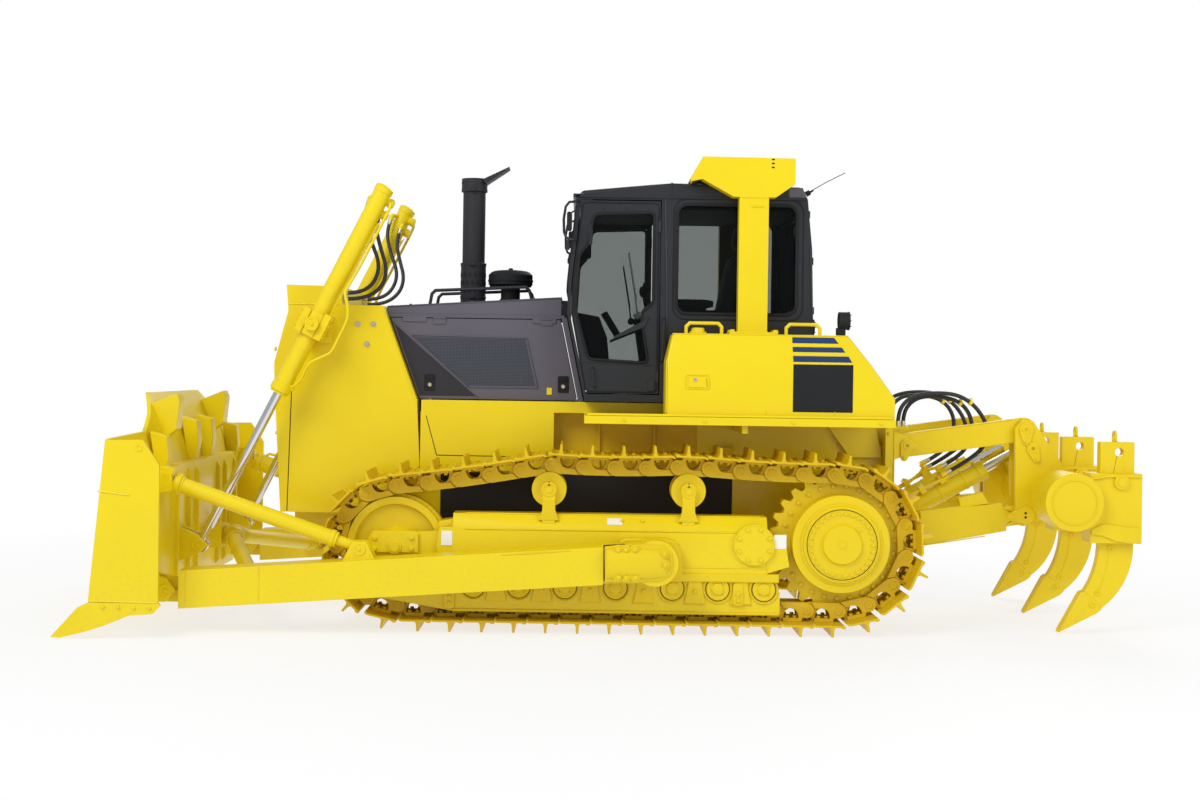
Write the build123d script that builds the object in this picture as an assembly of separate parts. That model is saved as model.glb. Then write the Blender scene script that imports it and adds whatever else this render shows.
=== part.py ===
from build123d import *
import math
import os

# Crawler bulldozer with a semi-U blade and a three-shank parallelogram ripper.
# Millimetres. +X is forwards, +Y is the machine's left and +Z is up. The origin
# is on the ground, half-way along and half-way across the machine.

# Tracks: two chains of single-grouser shoes
track_gauge = 2000.0
shoe_width = 560.0
shoe_thickness = 15.0
shoe_count = 41
grouser_height = 65.0
grouser_root = 40.0
grouser_tip = 16.0
grouser_from_pin = 62.0
pin_to_shoe = 73.0
pin_to_rail = 58.0
rail_gap = 120.0
rail_width = 45.0
rail_notch = 18.0
rail_notch_half = 34.0
rail_in_shoe = 5.0
chain_sag = 14.0

# Wheels of the tracks
sprocket_x = -1542.0
sprocket_pin_radius = 468.0
sprocket_teeth = 27
sprocket_tip_radius = 476.0
sprocket_root_radius = 431.0
sprocket_tooth_width = 90.0
sprocket_drum_radius = 332.0
sprocket_cover_y = 1250.0
final_drive_radius = 270.0
idler_x = 1498.0
idler_pin_radius = 408.0
idler_width = 226.0
idler_flange = 20.0
idler_flange_width = 96.0
idler_hub_radius = 105.0
carrier_places = (452.0, -502.0)
carrier_z = 962.0
carrier_radius = 100.0
roller_places = (957.0, 649.0, 334.0, -10.0, -396.0, -706.0, -1020.0)
roller_radius = 90.0
roller_width = 214.0
roller_shaft_radius = 40.0
rail_clearance = 2.0
carrier_drop = 9.0

# Track frames
frame_rear_x = -1040.0
frame_front_x = 1105.0
frame_inner_y = 825.0
frame_outer_y = 1190.0
frame_bottom_z = 402.0
frame_side_top_z = 690.0
frame_top_z = 790.0
frame_top_inset = 80.0
guard_plate = 25.0
guard_inner_half = 150.0
guard_bottom_z = 130.0
fork_inner_half = 126.0
fork_plate = 34.0
fork_front_x = 1640.0
fork_half_height = 88.0
pivot_x = -949.0
pivot_z = 610.0
pivot_cover_radius = 140.0
pivot_cover = 22.0
carrier_post_width = 86.0
carrier_post_thickness = 45.0

# Push arms, which turn on trunnions of the track frames
trunnion_x = -264.0
trunnion_z = 512.0
trunnion_radius = 80.0
trunnion_end_y = 1480.0
trunnion_boss_radius = 128.0
trunnion_boss_y = 1290.0
trunnion_clearance = 1.5
arm_inner_y = 1320.0
arm_outer_y = 1550.0
arm_depth = 250.0
arm_front_x = 2880.0
arm_front_z = 294.0
arm_rear_x = 80.0
arm_rear_z = 491.0
arm_cap_radius = 152.0
arm_pin_x = 2970.0
arm_pin_z = 285.0
arm_pin_radius = 42.0
arm_lug_radius = 80.0
arm_lug_width = 84.0
ear_thickness = 45.0

# Blade
blade_half_width = 1820.0
blade_top_z = 1578.0
blade_top_half = 770.0
blade_shoulder_y = 1190.0
blade_shoulder_z = 1320.0
blade_wing_top_z = 1290.0
wing_start_y = 1000.0
wing_forward = 120.0
mould_foot_x = 3262.0
mould_foot_z = 205.0
mould_head_x = 3313.0
mould_bow = 170.0
mould_plate = 26.0
bracket_sink = 12.0
blade_back_x = 3040.0
blade_box_top_z = 1080.0
end_plate = 30.0
end_plate_rear_x = 2948.0
end_plate_bottom_z = 240.0
edge_plate = 45.0
edge_tip_x = 3635.0
edge_tip_z = 10.0
edge_heel_z = 199.0

# Blade lift cylinders, in the plane of the yoke and the blade's lift pin
lift_y = 800.0
yoke_x = 2126.0
yoke_z = 2076.0
lift_pin_x = 2906.0
lift_pin_z = 520.0
lift_barrel_radius = 63.0
lift_barrel_below = 545.0
lift_barrel_above = 1078.0
lift_rod_radius = 33.0
lift_rod_length = 1690.0
lift_eye_radius = 60.0
lift_eye_width = 50.0
lift_collar_radius = 92.0
lift_collar_half = 88.0
lift_trunnion_radius = 44.0
rod_clearance = 1.5

# Braces between the blade and the push arms
brace_y = 1400.0
brace_blade_x = 3000.0
brace_blade_z = 1001.0
brace_arm_x = 1702.0
brace_arm_z = 570.0
brace_radius = 53.0
tilt_barrel_radius = 70.0
tilt_rod_radius = 36.0
tilt_barrel_share = 0.52
strut_radius = 55.0
strut_arm_x = 2440.0
strut_arm_z = 325.0
strut_joint_x = 2872.0
strut_joint_z = 505.0
strut_joint_y = 70.0

# Main frame, engine and the yellow sheets round them
case_half_width = 450.0
rail_plate = 70.0
rail_bottom_z = 600.0
rail_top_z = 1060.0
belly_z = 430.0
engine_half_width = 300.0
guard_half_width = 600.0
guard_sheet = 20.0
guard_top_z = 2221.0
guard_front = ((2381.0, 737.0), (2436.0, 1668.0), (2439.0, 1805.0), (2345.0, 2168.0))
mouth_half_width = 470.0
mouth_low_z = 880.0
mouth_high_z = 2080.0
grille_bars = 12
grille_bar = 34.0
visor_top_z = 2361.0
hood_half_width = 500.0
hood_sheet = 20.0
hood_front_x = 1662.0
hood_front_top_z = 2228.0
hood_rear_x = 393.0
hood_rear_top_z = 2309.0
hood_seam_z = 2146.0
hood_crown_half = 380.0
hood_post = 48.0
hood_hinge_places = (1270.0, 500.0)
hood_hinge_length = 90.0
hood_hinge_y = 508.0
hood_hinge_z = 2142.0
hinge_radius = 8.0
deck_top_z = 1552.0
deck_bottom_z = 1472.0
fender_bottom_z = 1417.0
fender_half_width = 1200.0

# Cab, its doors and the roll-over frame
cab_half_width = 750.0
cab_wall = 50.0
cab_floor_z = 1560.0
cab_roof_rise = 103.0
cab_rear_x = -1387.0
cab_bend_share = 0.4262
door_hinge_x = -300.0
door_pin_x = -293.0
door_pin_y = 757.0
door_pin_radius = 11.0
door_hinge_shares = (0.1241, 0.8552)
door_gap = 8.0
door_thickness = 45.0
pillar_width = 30.0
glass_thickness = 8.0
rops_front_x = -586.0
rops_rear_x = -1230.0
rops_top_z = 3283.0
rops_front_depth = 158.0
rops_rear_depth = 184.0
rops_beam_depth = 153.0
rops_cheek_depth = 279.0
rops_clearance = 17.0
rops_outer_y = 905.0
rops_inner_y = 775.0
post_front_x = -842.0
post_rear_x = -1047.0
tank_outer_y = 1150.0
tank_inner_y = 760.0
tank_top_z = 2040.0
tank_crease_z = 1854.0
tank_crease_inset = 100.0

# Exhaust and air intake on the hood
stack_x = 1063.0
stack_radius = 84.0
stack_top_z = 3160.0
cleaner_x = 783.0
cleaner_radius = 165.0
cleaner_top_z = 2513.0
rail_radius = 12.0
rail_bend = 25.0
tank_rail_spans = ((-723.0, -477.0), (-1403.0, -1170.0))

# Hydraulic hoses: a route is a list of points on the left, from its first fitting to its last
bend_share = 0.45
port_radius = 20.0
port_length = 42.0
lift_hose_radius = 14.0
lift_hose_routes = (
    ((1768, 700, 2945), (1800, 685, 2850), (1760, 640, 2690), (1690, 600, 2510), (1740, 580, 2370),
     (1850, 565, 2308), (1960, 565, 2308)),
    ((1688, 700, 2872), (1720, 685, 2780), (1690, 640, 2640), (1640, 600, 2480), (1680, 570, 2350),
     (1810, 550, 2266), (1960, 550, 2266)),
)
lift_port_places = (1000.0, 905.0)
ripper_hose_radius = 15.0
ripper_hose_y = (300.0, 345.0)
ripper_shelf_z = 1405.0
ripper_shelf = 25.0
ripper_hose_bends = (
    ((-2118, ripper_shelf_z), (-2118, 1495), (-2166, 1577), (-2248, 1625), (-2400, 1628), (-2540, 1588),
     (-2622, 1475), (-2622, 1320)),
    ((-2072, ripper_shelf_z), (-2072, 1500), (-2122, 1587), (-2209, 1637), (-2360, 1655), (-2520, 1640),
     (-2655, 1545), (-2738, 1390), (-2708, 1262)),
)
ripper_port_along = 470.0
ripper_port_heights = (170.0, 120.0)
ripper_last_run = 148.0

# Ripper: two equal links a side carry the beam level
ripper_y = 470.0
link_width = 80.0
link_gap = 10.0
upper_front = (-2096.0, 1274.0)
upper_rear = (-2951.0, 1400.0)
lower_front = (-2104.0, 662.0)
lower_rear = (-2959.0, 788.0)
link_pin_radius = 40.0
link_eye_radius = 84.0
pin_clearance = 2.0
upper_link_depth = 170.0
lower_arm_depth = 200.0
ripper_cylinder_y = 250.0
ripper_base = (-2077.0, 740.0)
ripper_rod_pin = (-3026.0, 1264.0)
ripper_barrel_radius = 70.0
ripper_barrel_length = 740.0
ripper_rod_radius = 35.0
ripper_rod_length = 700.0
ripper_eye_width = 50.0
beam_x = -3153.0
beam_z = 922.0
beam_radius = 200.0
beam_half_length = 1100.0
beam_middle_radius = 140.0
beam_end_length = 380.0
mount_face_x = -2000.0
mount_plate = 60.0
shank_places = (935.0, 0.0, -935.0)
shank_front_x = -3361.0
shank_rear_x = -3598.0
shank_thickness = 76.0
shank_top_z = 1336.0
shank_hole = (-3493.0, 1267.0)
shank_hole_radius = 30.0
shank_tip = (-3087.0, 10.0)
holder_wall = 60.0
holder_top_z = 1120.0
holder_bottom_z = 640.0

pin_z = grouser_height + shoe_thickness + pin_to_shoe
sprocket_z = pin_z + sprocket_pin_radius
idler_z = pin_z + idler_pin_radius
carrier_pin_z = carrier_z + carrier_radius + pin_to_rail + carrier_drop
track_y = track_gauge / 2
rops_beam_bottom_z = rops_top_z - rops_beam_depth
post_top_z = rops_top_z - rops_cheek_depth
cab_eaves_z = rops_beam_bottom_z - rops_clearance - cab_roof_rise


def side_face(points, y=0.0):
    """A flat face at one Y from a closed outline of (X, Z) points."""
    plane = Plane(origin=(0, y, 0), x_dir=(1, 0, 0), z_dir=(0, -1, 0))
    return plane * Polygon(*points, align=None)


def side_plate(points, y_low, y_high):
    """A plate whose outline is drawn in side view, between two Y values."""
    return extrude(side_face(points, y_low), amount=y_high - y_low, dir=(0, 1, 0))


def block(x_low, x_high, y_low, y_high, z_low, z_high):
    """A block between its low and high corners."""
    size = (x_high - x_low, y_high - y_low, z_high - z_low)
    middle = ((x_high + x_low) / 2, (y_high + y_low) / 2, (z_high + z_low) / 2)
    return Pos(*middle) * Box(*size)


def pin_y(x, z, radius, y_low, y_high):
    """A round pin that runs along Y."""
    plane = Plane(origin=(x, y_low, z), x_dir=(1, 0, 0), z_dir=(0, 1, 0))
    return extrude(plane * Circle(radius), amount=y_high - y_low)


def turned_y(x, z, profile):
    """A turned piece with its axis along Y, from (radius, Y) points."""
    plane = Plane(origin=(x, 0, z), x_dir=(1, 0, 0), z_dir=(0, 0, 1))
    return revolve(plane * Polygon(*profile, align=None), Axis((x, 0, z), (0, 1, 0)))


def bar(start, end, radius, bore=0.0):
    """A round bar or tube between two points."""
    line = Vector(*end) - Vector(*start)
    section = Circle(radius) if bore == 0 else Circle(radius) - Circle(bore)
    return extrude(Plane(origin=start, z_dir=line) * section, amount=line.length)


def both_sides(shape):
    """A left piece together with its mirror image on the right."""
    return shape + mirror(shape, about=Plane.XZ)


def fused(shapes):
    """One solid or compound from pieces that touch or overlap."""
    total = shapes[0]
    for shape in shapes[1:]:
        total = total + shape
    return total


def link_outline(front, rear, front_depth, rear_depth):
    """Corners of a tapered bar between two pins, drawn in side view."""
    length = math.dist(front, rear)
    along = ((rear[0] - front[0]) / length, (rear[1] - front[1]) / length)
    across = (-along[1], along[0])
    corners = []
    for centre, depth, side in (
        (front, front_depth, 1), (rear, rear_depth, 1), (rear, rear_depth, -1), (front, front_depth, -1)
    ):
        corners.append((centre[0] + across[0] * depth / 2 * side, centre[1] + across[1] * depth / 2 * side))
    return corners


def eye_bar(front, rear, depth, eye_radius, y_low, y_high):
    """A straight bar with a round eye at each end."""
    body = side_plate(link_outline(front, rear, depth, depth), y_low, y_high)
    return body + pin_y(*front, eye_radius, y_low, y_high) + pin_y(*rear, eye_radius, y_low, y_high)


# Track chain
def tangent_point(centre, radius, point, side):
    """Where the line from an outside point touches a circle in side view."""
    dx, dz = point[0] - centre[0], point[1] - centre[1]
    angle = math.atan2(dz, dx) + side * math.acos(radius / math.hypot(dx, dz))
    return centre[0] + radius * math.cos(angle), centre[1] + radius * math.sin(angle)


def sagging(start, end, drop):
    """A shallow hanging run between two points."""
    middle = ((start[0] + end[0]) / 2, (start[1] + end[1]) / 2 - drop)
    return ThreePointArc(start, middle, end)


def pin_line():
    """The closed line of the chain's pins, in side view."""
    sprocket = (sprocket_x, sprocket_z)
    idler = (idler_x, idler_z)
    front_carrier = (carrier_places[0], carrier_pin_z)
    rear_carrier = (carrier_places[1], carrier_pin_z)
    idler_top = tangent_point(idler, idler_pin_radius, front_carrier, -1)
    sprocket_top = tangent_point(sprocket, sprocket_pin_radius, rear_carrier, 1)
    idler_bottom = (idler_x, pin_z)
    sprocket_bottom = (sprocket_x, pin_z)
    idler_front = (idler_x + idler_pin_radius, idler_z)
    sprocket_rear = (sprocket_x - sprocket_pin_radius, sprocket_z)
    return Wire([
        Line(sprocket_bottom, idler_bottom),
        ThreePointArc(idler_bottom, idler_front, idler_top),
        sagging(idler_top, front_carrier, chain_sag),
        sagging(front_carrier, rear_carrier, chain_sag),
        sagging(rear_carrier, sprocket_top, chain_sag),
        ThreePointArc(sprocket_top, sprocket_rear, sprocket_bottom),
    ])


def chain_pins():
    """Pin centres of one chain, in order, forwards along the ground."""
    line = pin_line()
    pins = [line @ (number / shoe_count) for number in range(shoe_count)]
    return [(pin.X, pin.Y) for pin in pins]


def link_frames(pins):
    """Each link's first pin, length, direction and outward direction."""
    frames = []
    for first, second in zip(pins, pins[1:] + pins[:1]):
        length = math.dist(first, second)
        along = ((second[0] - first[0]) / length, (second[1] - first[1]) / length)
        frames.append((first, length, along, (along[1], -along[0])))
    return frames


def offset_corner(before, after, distance):
    """The corner between two links, moved outwards from their shared pin."""
    bisector = (before[3][0] + after[3][0], before[3][1] + after[3][1])
    size = math.hypot(*bisector)
    reach = distance / (size / 2)
    pin = after[0]
    return pin[0] + bisector[0] / size * reach, pin[1] + bisector[1] / size * reach


def on_link(frame, along, out):
    """A point of one link, from its first pin."""
    pin, _, direction, outward = frame
    return (
        pin[0] + direction[0] * along + outward[0] * out,
        pin[1] + direction[1] * along + outward[1] * out,
    )


def track():
    """One left-hand track: shoes with grousers, on two rails of links."""
    frames = link_frames(chain_pins())
    shoe_face = pin_to_shoe + shoe_thickness
    outer, inner, rail_outer, rail_inner = [], [], [], []
    for before, frame in zip(frames[-1:] + frames[:-1], frames):
        centre = grouser_from_pin
        outer.append(offset_corner(before, frame, shoe_face))
        outer.append(on_link(frame, centre - grouser_root / 2, shoe_face))
        outer.append(on_link(frame, centre - grouser_tip / 2, shoe_face + grouser_height))
        outer.append(on_link(frame, centre + grouser_tip / 2, shoe_face + grouser_height))
        outer.append(on_link(frame, centre + grouser_root / 2, shoe_face))
        inner.append(offset_corner(before, frame, pin_to_shoe))
        rail_outer.append(offset_corner(before, frame, pin_to_shoe + rail_in_shoe))
        rail_inner.append(offset_corner(before, frame, rail_notch - pin_to_rail))
        rail_inner.append(on_link(frame, rail_notch_half, -pin_to_rail))
        rail_inner.append(on_link(frame, frame[1] - rail_notch_half, -pin_to_rail))
    low_y = track_y - shoe_width / 2
    band = extrude(
        side_face(outer, low_y) - side_face(inner, low_y), amount=shoe_width, dir=(0, 1, 0)
    )
    shapes = [band]
    for side in (-1, 1):
        rail_y = track_y + side * (rail_gap + rail_width) / 2 - rail_width / 2
        face = side_face(rail_outer, rail_y) - side_face(rail_inner, rail_y)
        shapes.append(extrude(face, amount=rail_width, dir=(0, 1, 0)))
    return fused(shapes)


def sprocket():
    """Toothed ring and the stepped drum of the final drive."""
    tooth_angle = 2 * math.pi / sprocket_teeth
    outline = []
    for tooth in range(sprocket_teeth):
        for share, radius in (
            (0.0, sprocket_root_radius), (0.3, sprocket_root_radius),
            (0.5, sprocket_tip_radius), (0.8, sprocket_tip_radius),
        ):
            angle = (tooth + share) * tooth_angle
            outline.append(
                (sprocket_x + radius * math.cos(angle), sprocket_z + radius * math.sin(angle))
            )
    half = sprocket_tooth_width / 2
    ring = side_plate(outline, track_y - half, track_y + half)
    drum_y = sprocket_cover_y - 60
    profile = [
        (0, track_y - 210), (sprocket_drum_radius - 60, track_y - 210), (sprocket_drum_radius, track_y - 150),
        (sprocket_drum_radius, drum_y), (sprocket_drum_radius - 60, drum_y + 8),
        (sprocket_drum_radius - 74, drum_y + 34), (140, drum_y + 34), (128, sprocket_cover_y), (0, sprocket_cover_y),
    ]
    return ring + turned_y(sprocket_x, sprocket_z, profile)


def idler_tread_radius():
    """Tread radius that the flat of a link rests on."""
    pitch = pin_line().length / shoe_count
    return math.sqrt(idler_pin_radius ** 2 - (pitch / 2) ** 2) - pin_to_rail - rail_clearance


def idler():
    """Front wheel with a centre flange between the rails."""
    tread = idler_tread_radius()
    half, flange_half = idler_width / 2, idler_flange_width / 2
    dish = half - 45
    profile = [
        (0, track_y - half), (idler_hub_radius, track_y - half), (idler_hub_radius + 30, track_y - dish),
        (tread - 60, track_y - dish), (tread - 40, track_y - half), (tread, track_y - half),
        (tread, track_y - flange_half), (tread + idler_flange, track_y - flange_half),
        (tread + idler_flange, track_y + flange_half), (tread, track_y + flange_half),
        (tread, track_y + half), (tread - 40, track_y + half), (tread - 60, track_y + dish),
        (idler_hub_radius + 30, track_y + dish), (idler_hub_radius, track_y + half), (0, track_y + half),
    ]
    return turned_y(idler_x, idler_z, profile)


def rollers():
    """Seven track rollers and two carrier rollers."""
    roller_z = pin_z + pin_to_rail + rail_clearance + roller_radius
    half = roller_width / 2
    shapes = []
    for x in roller_places:
        shapes.append(pin_y(
            x, roller_z, roller_radius, track_y - guard_inner_half, track_y + guard_inner_half
        ))
    post_face = track_y + half + 8 + carrier_post_thickness
    for x in carrier_places:
        wheel = pin_y(x, carrier_z, carrier_radius, track_y - half, track_y + half)
        shaft = pin_y(x, carrier_z, roller_shaft_radius, track_y, post_face - carrier_post_thickness)
        shapes.append(wheel + shaft)
    return Compound(children=shapes)


def track_frame():
    """Welded beam with roller guards, idler fork, carrier posts and trunnion."""
    section = [
        (frame_inner_y, frame_bottom_z), (frame_outer_y, frame_bottom_z), (frame_outer_y, frame_side_top_z),
        (frame_outer_y - frame_top_inset, frame_top_z), (frame_inner_y + frame_top_inset, frame_top_z),
        (frame_inner_y, frame_side_top_z),
    ]
    plane = Plane(origin=(frame_rear_x, 0, 0), x_dir=(0, 1, 0), z_dir=(1, 0, 0))
    beam = extrude(plane * Polygon(*section, align=None), amount=frame_front_x - frame_rear_x)
    shapes = [beam]
    guard_outline = [
        (roller_places[-1] - 110, guard_bottom_z), (roller_places[0] + 150, guard_bottom_z),
        (fork_front_x, guard_bottom_z + 90), (fork_front_x, guard_bottom_z + 200),
        (frame_front_x, frame_bottom_z + 20), (frame_rear_x, frame_bottom_z + 20),
        (roller_places[-1] - 110, guard_bottom_z + 150),
    ]
    fork_outline = [
        (frame_front_x - 60, idler_z - fork_half_height), (fork_front_x, idler_z - fork_half_height),
        (fork_front_x, idler_z + fork_half_height), (frame_front_x - 60, idler_z + fork_half_height + 30),
    ]
    for side in (-1, 1):
        inner = track_y + side * guard_inner_half
        outer = track_y + side * (guard_inner_half + guard_plate)
        shapes.append(side_plate(guard_outline, min(inner, outer), max(inner, outer)))
        inner = track_y + side * fork_inner_half
        outer = track_y + side * (fork_inner_half + fork_plate)
        shapes.append(side_plate(fork_outline, min(inner, outer), max(inner, outer)))
    rear_cheek = [
        (frame_rear_x + 40, frame_bottom_z), (frame_rear_x + 40, frame_side_top_z),
        (frame_rear_x - 120, frame_side_top_z - 40), (frame_rear_x - 150, frame_bottom_z + 60),
    ]
    shapes.append(side_plate(rear_cheek, frame_outer_y - 60, frame_outer_y))
    shapes.append(pin_y(pivot_x, pivot_z, pivot_cover_radius, frame_outer_y - 10, frame_outer_y + pivot_cover))
    post_low_y = track_y + roller_width / 2 + 8
    for x in carrier_places:
        half = carrier_post_width / 2
        shapes.append(block(
            x - half, x + half, post_low_y, post_low_y + carrier_post_thickness, frame_top_z - 60, carrier_z
        ))
        shapes.append(pin_y(x, carrier_z, half + 12, post_low_y, post_low_y + carrier_post_thickness))
    shapes.append(pin_y(trunnion_x, trunnion_z, trunnion_boss_radius, frame_outer_y - 10, trunnion_boss_y))
    shapes.append(pin_y(trunnion_x, trunnion_z, trunnion_radius, trunnion_boss_y - 10, trunnion_end_y))
    return fused(shapes)


# Blade and what pushes it
def behind_mould(shift, back_x):
    """The area behind the moldboard's curve, back to a straight line."""
    foot = (mould_foot_x - shift, mould_foot_z)
    head = (mould_head_x - shift, blade_top_z)
    middle = ((foot[0] + head[0]) / 2 - mould_bow, (foot[1] + head[1]) / 2)
    edges = ThreePointArc(foot, middle, head) + Polyline(head, (back_x, head[1]), (back_x, foot[1]), foot)
    return make_face(edges)


def blade_section():
    """Curved skin with the closed box behind its lower half."""
    pocket = behind_mould(mould_plate, blade_back_x - 1)
    tall = blade_top_z - blade_box_top_z + 2
    upper = Pos(blade_back_x, blade_box_top_z + tall / 2) * Rectangle(1200, tall)
    return behind_mould(0.0, blade_back_x) - (pocket & upper)


def swept_half(section, y_start, y_end, forward):
    """A side-view section carried sideways, moving forwards as it goes."""
    plane = Plane(origin=(0, y_start, 0), x_dir=(1, 0, 0), z_dir=(0, -1, 0))
    reach = Vector(forward, y_end - y_start, 0)
    return extrude(plane * section, amount=reach.length, dir=reach.normalized())


def wing_back_x(y):
    """Where a bracket at one Y of the blade's wing is let into the blade's back."""
    share = (y - wing_start_y) / (blade_half_width - end_plate - wing_start_y)
    return blade_back_x + share * wing_forward + bracket_sink


def blade():
    """Semi-U moldboard with end plates, box ribs and brackets."""
    section = blade_section()
    half = swept_half(section, 0, wing_start_y, 0)
    half = half + swept_half(section, wing_start_y, blade_half_width - end_plate, wing_forward)
    crown = [
        (-10, blade_top_z + 60), (-10, blade_top_z), (blade_top_half, blade_top_z),
        (blade_shoulder_y, blade_shoulder_z), (blade_half_width + 10, blade_wing_top_z),
        (blade_half_width + 10, blade_top_z + 60),
    ]
    plane = Plane(origin=(blade_back_x - 300, 0, 0), x_dir=(0, 1, 0), z_dir=(1, 0, 0))
    half = half - extrude(plane * Polygon(*crown, align=None), amount=900)
    end_outline = [
        (end_plate_rear_x, end_plate_bottom_z), (end_plate_rear_x + 3, 1130), (3060, blade_wing_top_z),
        (3302, blade_wing_top_z - 4), (3397, end_plate_bottom_z + 11),
    ]
    pieces = [half, side_plate(end_outline, blade_half_width - end_plate, blade_half_width)]
    rib = [(3255, 1500), (3072, blade_top_z - 2), (3051, 1524), (3071, 1326), (3180, 1240)]
    pieces.append(side_plate(rib, blade_top_half - 70, blade_top_half + 90))
    lift_ear = [
        (blade_back_x + 10, lift_pin_z - 120), (blade_back_x + 10, lift_pin_z + 130),
        (lift_pin_x, lift_pin_z + 66), (lift_pin_x - 66, lift_pin_z), (lift_pin_x, lift_pin_z - 66),
    ]
    ear_gap = lift_eye_width / 2 + link_gap
    for side in (-1, 1):
        low = lift_y + side * (ear_gap + ear_thickness / 2) - ear_thickness / 2
        pieces.append(side_plate(lift_ear, low, low + ear_thickness))
    arm_middle = (arm_inner_y + arm_outer_y) / 2
    for side in (-1, 1):
        low = arm_middle + side * (arm_lug_width + ear_thickness) / 2 - ear_thickness / 2
        root_x = wing_back_x(low + ear_thickness)
        arm_ear = [
            (root_x, arm_pin_z - 75), (root_x, arm_pin_z + 120), (arm_pin_x, arm_pin_z + 76),
            (arm_pin_x - 68, arm_pin_z), (arm_pin_x, arm_pin_z - 76),
        ]
        pieces.append(side_plate(arm_ear, low, low + ear_thickness))
    pieces.append(brace_bracket())
    pieces.append(block(
        strut_joint_x + 20, blade_back_x + 10, -10, 150, strut_joint_z - 80, strut_joint_z + 80
    ))
    return both_sides(fused(pieces))


def cutting_edge():
    """Bolted edge along the moldboard's foot, with a cast bit at each end."""
    lean = (edge_tip_x - wing_forward - mould_foot_x) / (mould_foot_z - edge_tip_z)
    heel_x = mould_foot_x
    tip_x = edge_tip_x - wing_forward
    section = Polygon(
        (heel_x, mould_foot_z), (heel_x + edge_plate, mould_foot_z), (tip_x, edge_tip_z + 6),
        (tip_x - 18, edge_tip_z), (tip_x - edge_plate * lean, edge_tip_z + 14), align=None,
    )
    half = swept_half(section, 0, wing_start_y, 0)
    half = half + swept_half(section, wing_start_y, blade_half_width, wing_forward)
    bit = [
        (end_plate_rear_x - 4, end_plate_bottom_z), (end_plate_rear_x - 15, 222), (2981, 170), (3128, 159),
        (3291, 91), (3418, 49), (edge_tip_x - 60, edge_tip_z), (edge_tip_x, edge_tip_z + 6),
        (3466, mould_foot_z), (3397, end_plate_bottom_z),
    ]
    half = half + side_plate(bit, blade_half_width - end_plate, blade_half_width)
    return both_sides(half)


def arm_line(x):
    """Height of the push arm's centre line."""
    share = (x - arm_rear_x) / (arm_front_x - arm_rear_x)
    return arm_rear_z + share * (arm_front_z - arm_rear_z)


def push_arm():
    """Box-section arm, pinned to the blade and capped on its trunnion."""
    half = arm_depth / 2
    outline = [
        (arm_front_x, arm_front_z + half), (arm_rear_x, arm_rear_z + half), (arm_rear_x, arm_rear_z - half),
        (arm_front_x, arm_front_z - half),
    ]
    body = side_plate(outline, arm_inner_y, arm_outer_y)
    neck = [
        (arm_rear_x + 20, arm_line(arm_rear_x) + half - 6), (trunnion_x, trunnion_z + arm_cap_radius - 20),
        (trunnion_x, trunnion_z - arm_cap_radius + 20), (arm_rear_x + 20, arm_line(arm_rear_x) - half + 6),
    ]
    body = body + side_plate(neck, arm_inner_y, arm_outer_y - 20)
    body = body + pin_y(trunnion_x, trunnion_z, arm_cap_radius, arm_inner_y, arm_outer_y)
    bore_end = trunnion_end_y + 8
    body = body - pin_y(trunnion_x, trunnion_z, trunnion_radius + trunnion_clearance, arm_inner_y - 5, bore_end)
    middle = (arm_inner_y + arm_outer_y) / 2
    lug_low, lug_high = middle - arm_lug_width / 2, middle + arm_lug_width / 2
    lug = [
        (arm_front_x - 10, arm_pin_z + arm_lug_radius), (arm_pin_x, arm_pin_z + arm_lug_radius),
        (arm_pin_x, arm_pin_z - arm_lug_radius), (arm_front_x - 10, arm_pin_z - arm_lug_radius),
    ]
    body = body + side_plate(lug, lug_low, lug_high) + pin_y(arm_pin_x, arm_pin_z, arm_lug_radius, lug_low, lug_high)
    brace_top = arm_line(brace_arm_x) + half
    brace_lug = [
        (brace_arm_x + 110, brace_top - 10), (brace_arm_x + 45, brace_arm_z + 50), (brace_arm_x - 45, brace_arm_z + 50),
        (brace_arm_x - 110, brace_top - 10),
    ]
    for side in (-1, 1):
        low = brace_y + side * 52 - 15
        body = body + side_plate(brace_lug, low, low + 30)
    return body + strut_lug()


def strut_lug():
    """Lug inside the push arm that a centre strut is welded to."""
    return block(
        strut_arm_x - 70, strut_arm_x + 70, arm_inner_y - 60, arm_inner_y + 5, strut_arm_z - 60, strut_arm_z + 60
    )


def brace_ends():
    """The brace's two pins, at the blade's bracket and on the arm."""
    return (brace_blade_x - 50, brace_y, brace_blade_z - 12), (brace_arm_x, brace_y, brace_arm_z)


def brace_eye():
    """The brace's rear eye, between the lugs on the push arm."""
    return pin_y(brace_arm_x, brace_arm_z, 48, brace_y - 37, brace_y + 37)


def brace_bracket():
    """Bracket on the blade's back that holds the front of a brace."""
    low, high = brace_y - 55, brace_y + 55
    root_x = wing_back_x(high)
    outline = [
        (root_x, brace_blade_z - 90), (root_x, brace_blade_z + 75),
        (brace_blade_x - 40, brace_blade_z + 55), (brace_blade_x - 60, brace_blade_z - 60),
    ]
    return side_plate(outline, low, high)


def brace_tongue():
    """Narrow rear end of a brace, between the lugs on the push arm."""
    start, end = brace_ends()
    neck = Vector(*end) + (Vector(*start) - Vector(*end)).normalized() * 165
    return tuple(neck), bar(tuple(neck), end, 35) + brace_eye()


def brace():
    """Fixed-length brace on the left."""
    start, _ = brace_ends()
    neck, tongue = brace_tongue()
    return bar(start, neck, brace_radius) + tongue - brace_bracket()


def tilt_cylinder():
    """Tilt cylinder that takes the brace's place on the right."""
    start, end = brace_ends()
    share = tilt_barrel_share
    middle = tuple(first + (last - first) * share for first, last in zip(start, end))
    neck, tongue = brace_tongue()
    left = bar(start, middle, tilt_barrel_radius) + bar(middle, neck, tilt_rod_radius) + tongue
    return mirror(left - brace_bracket(), about=Plane.XZ)


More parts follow.
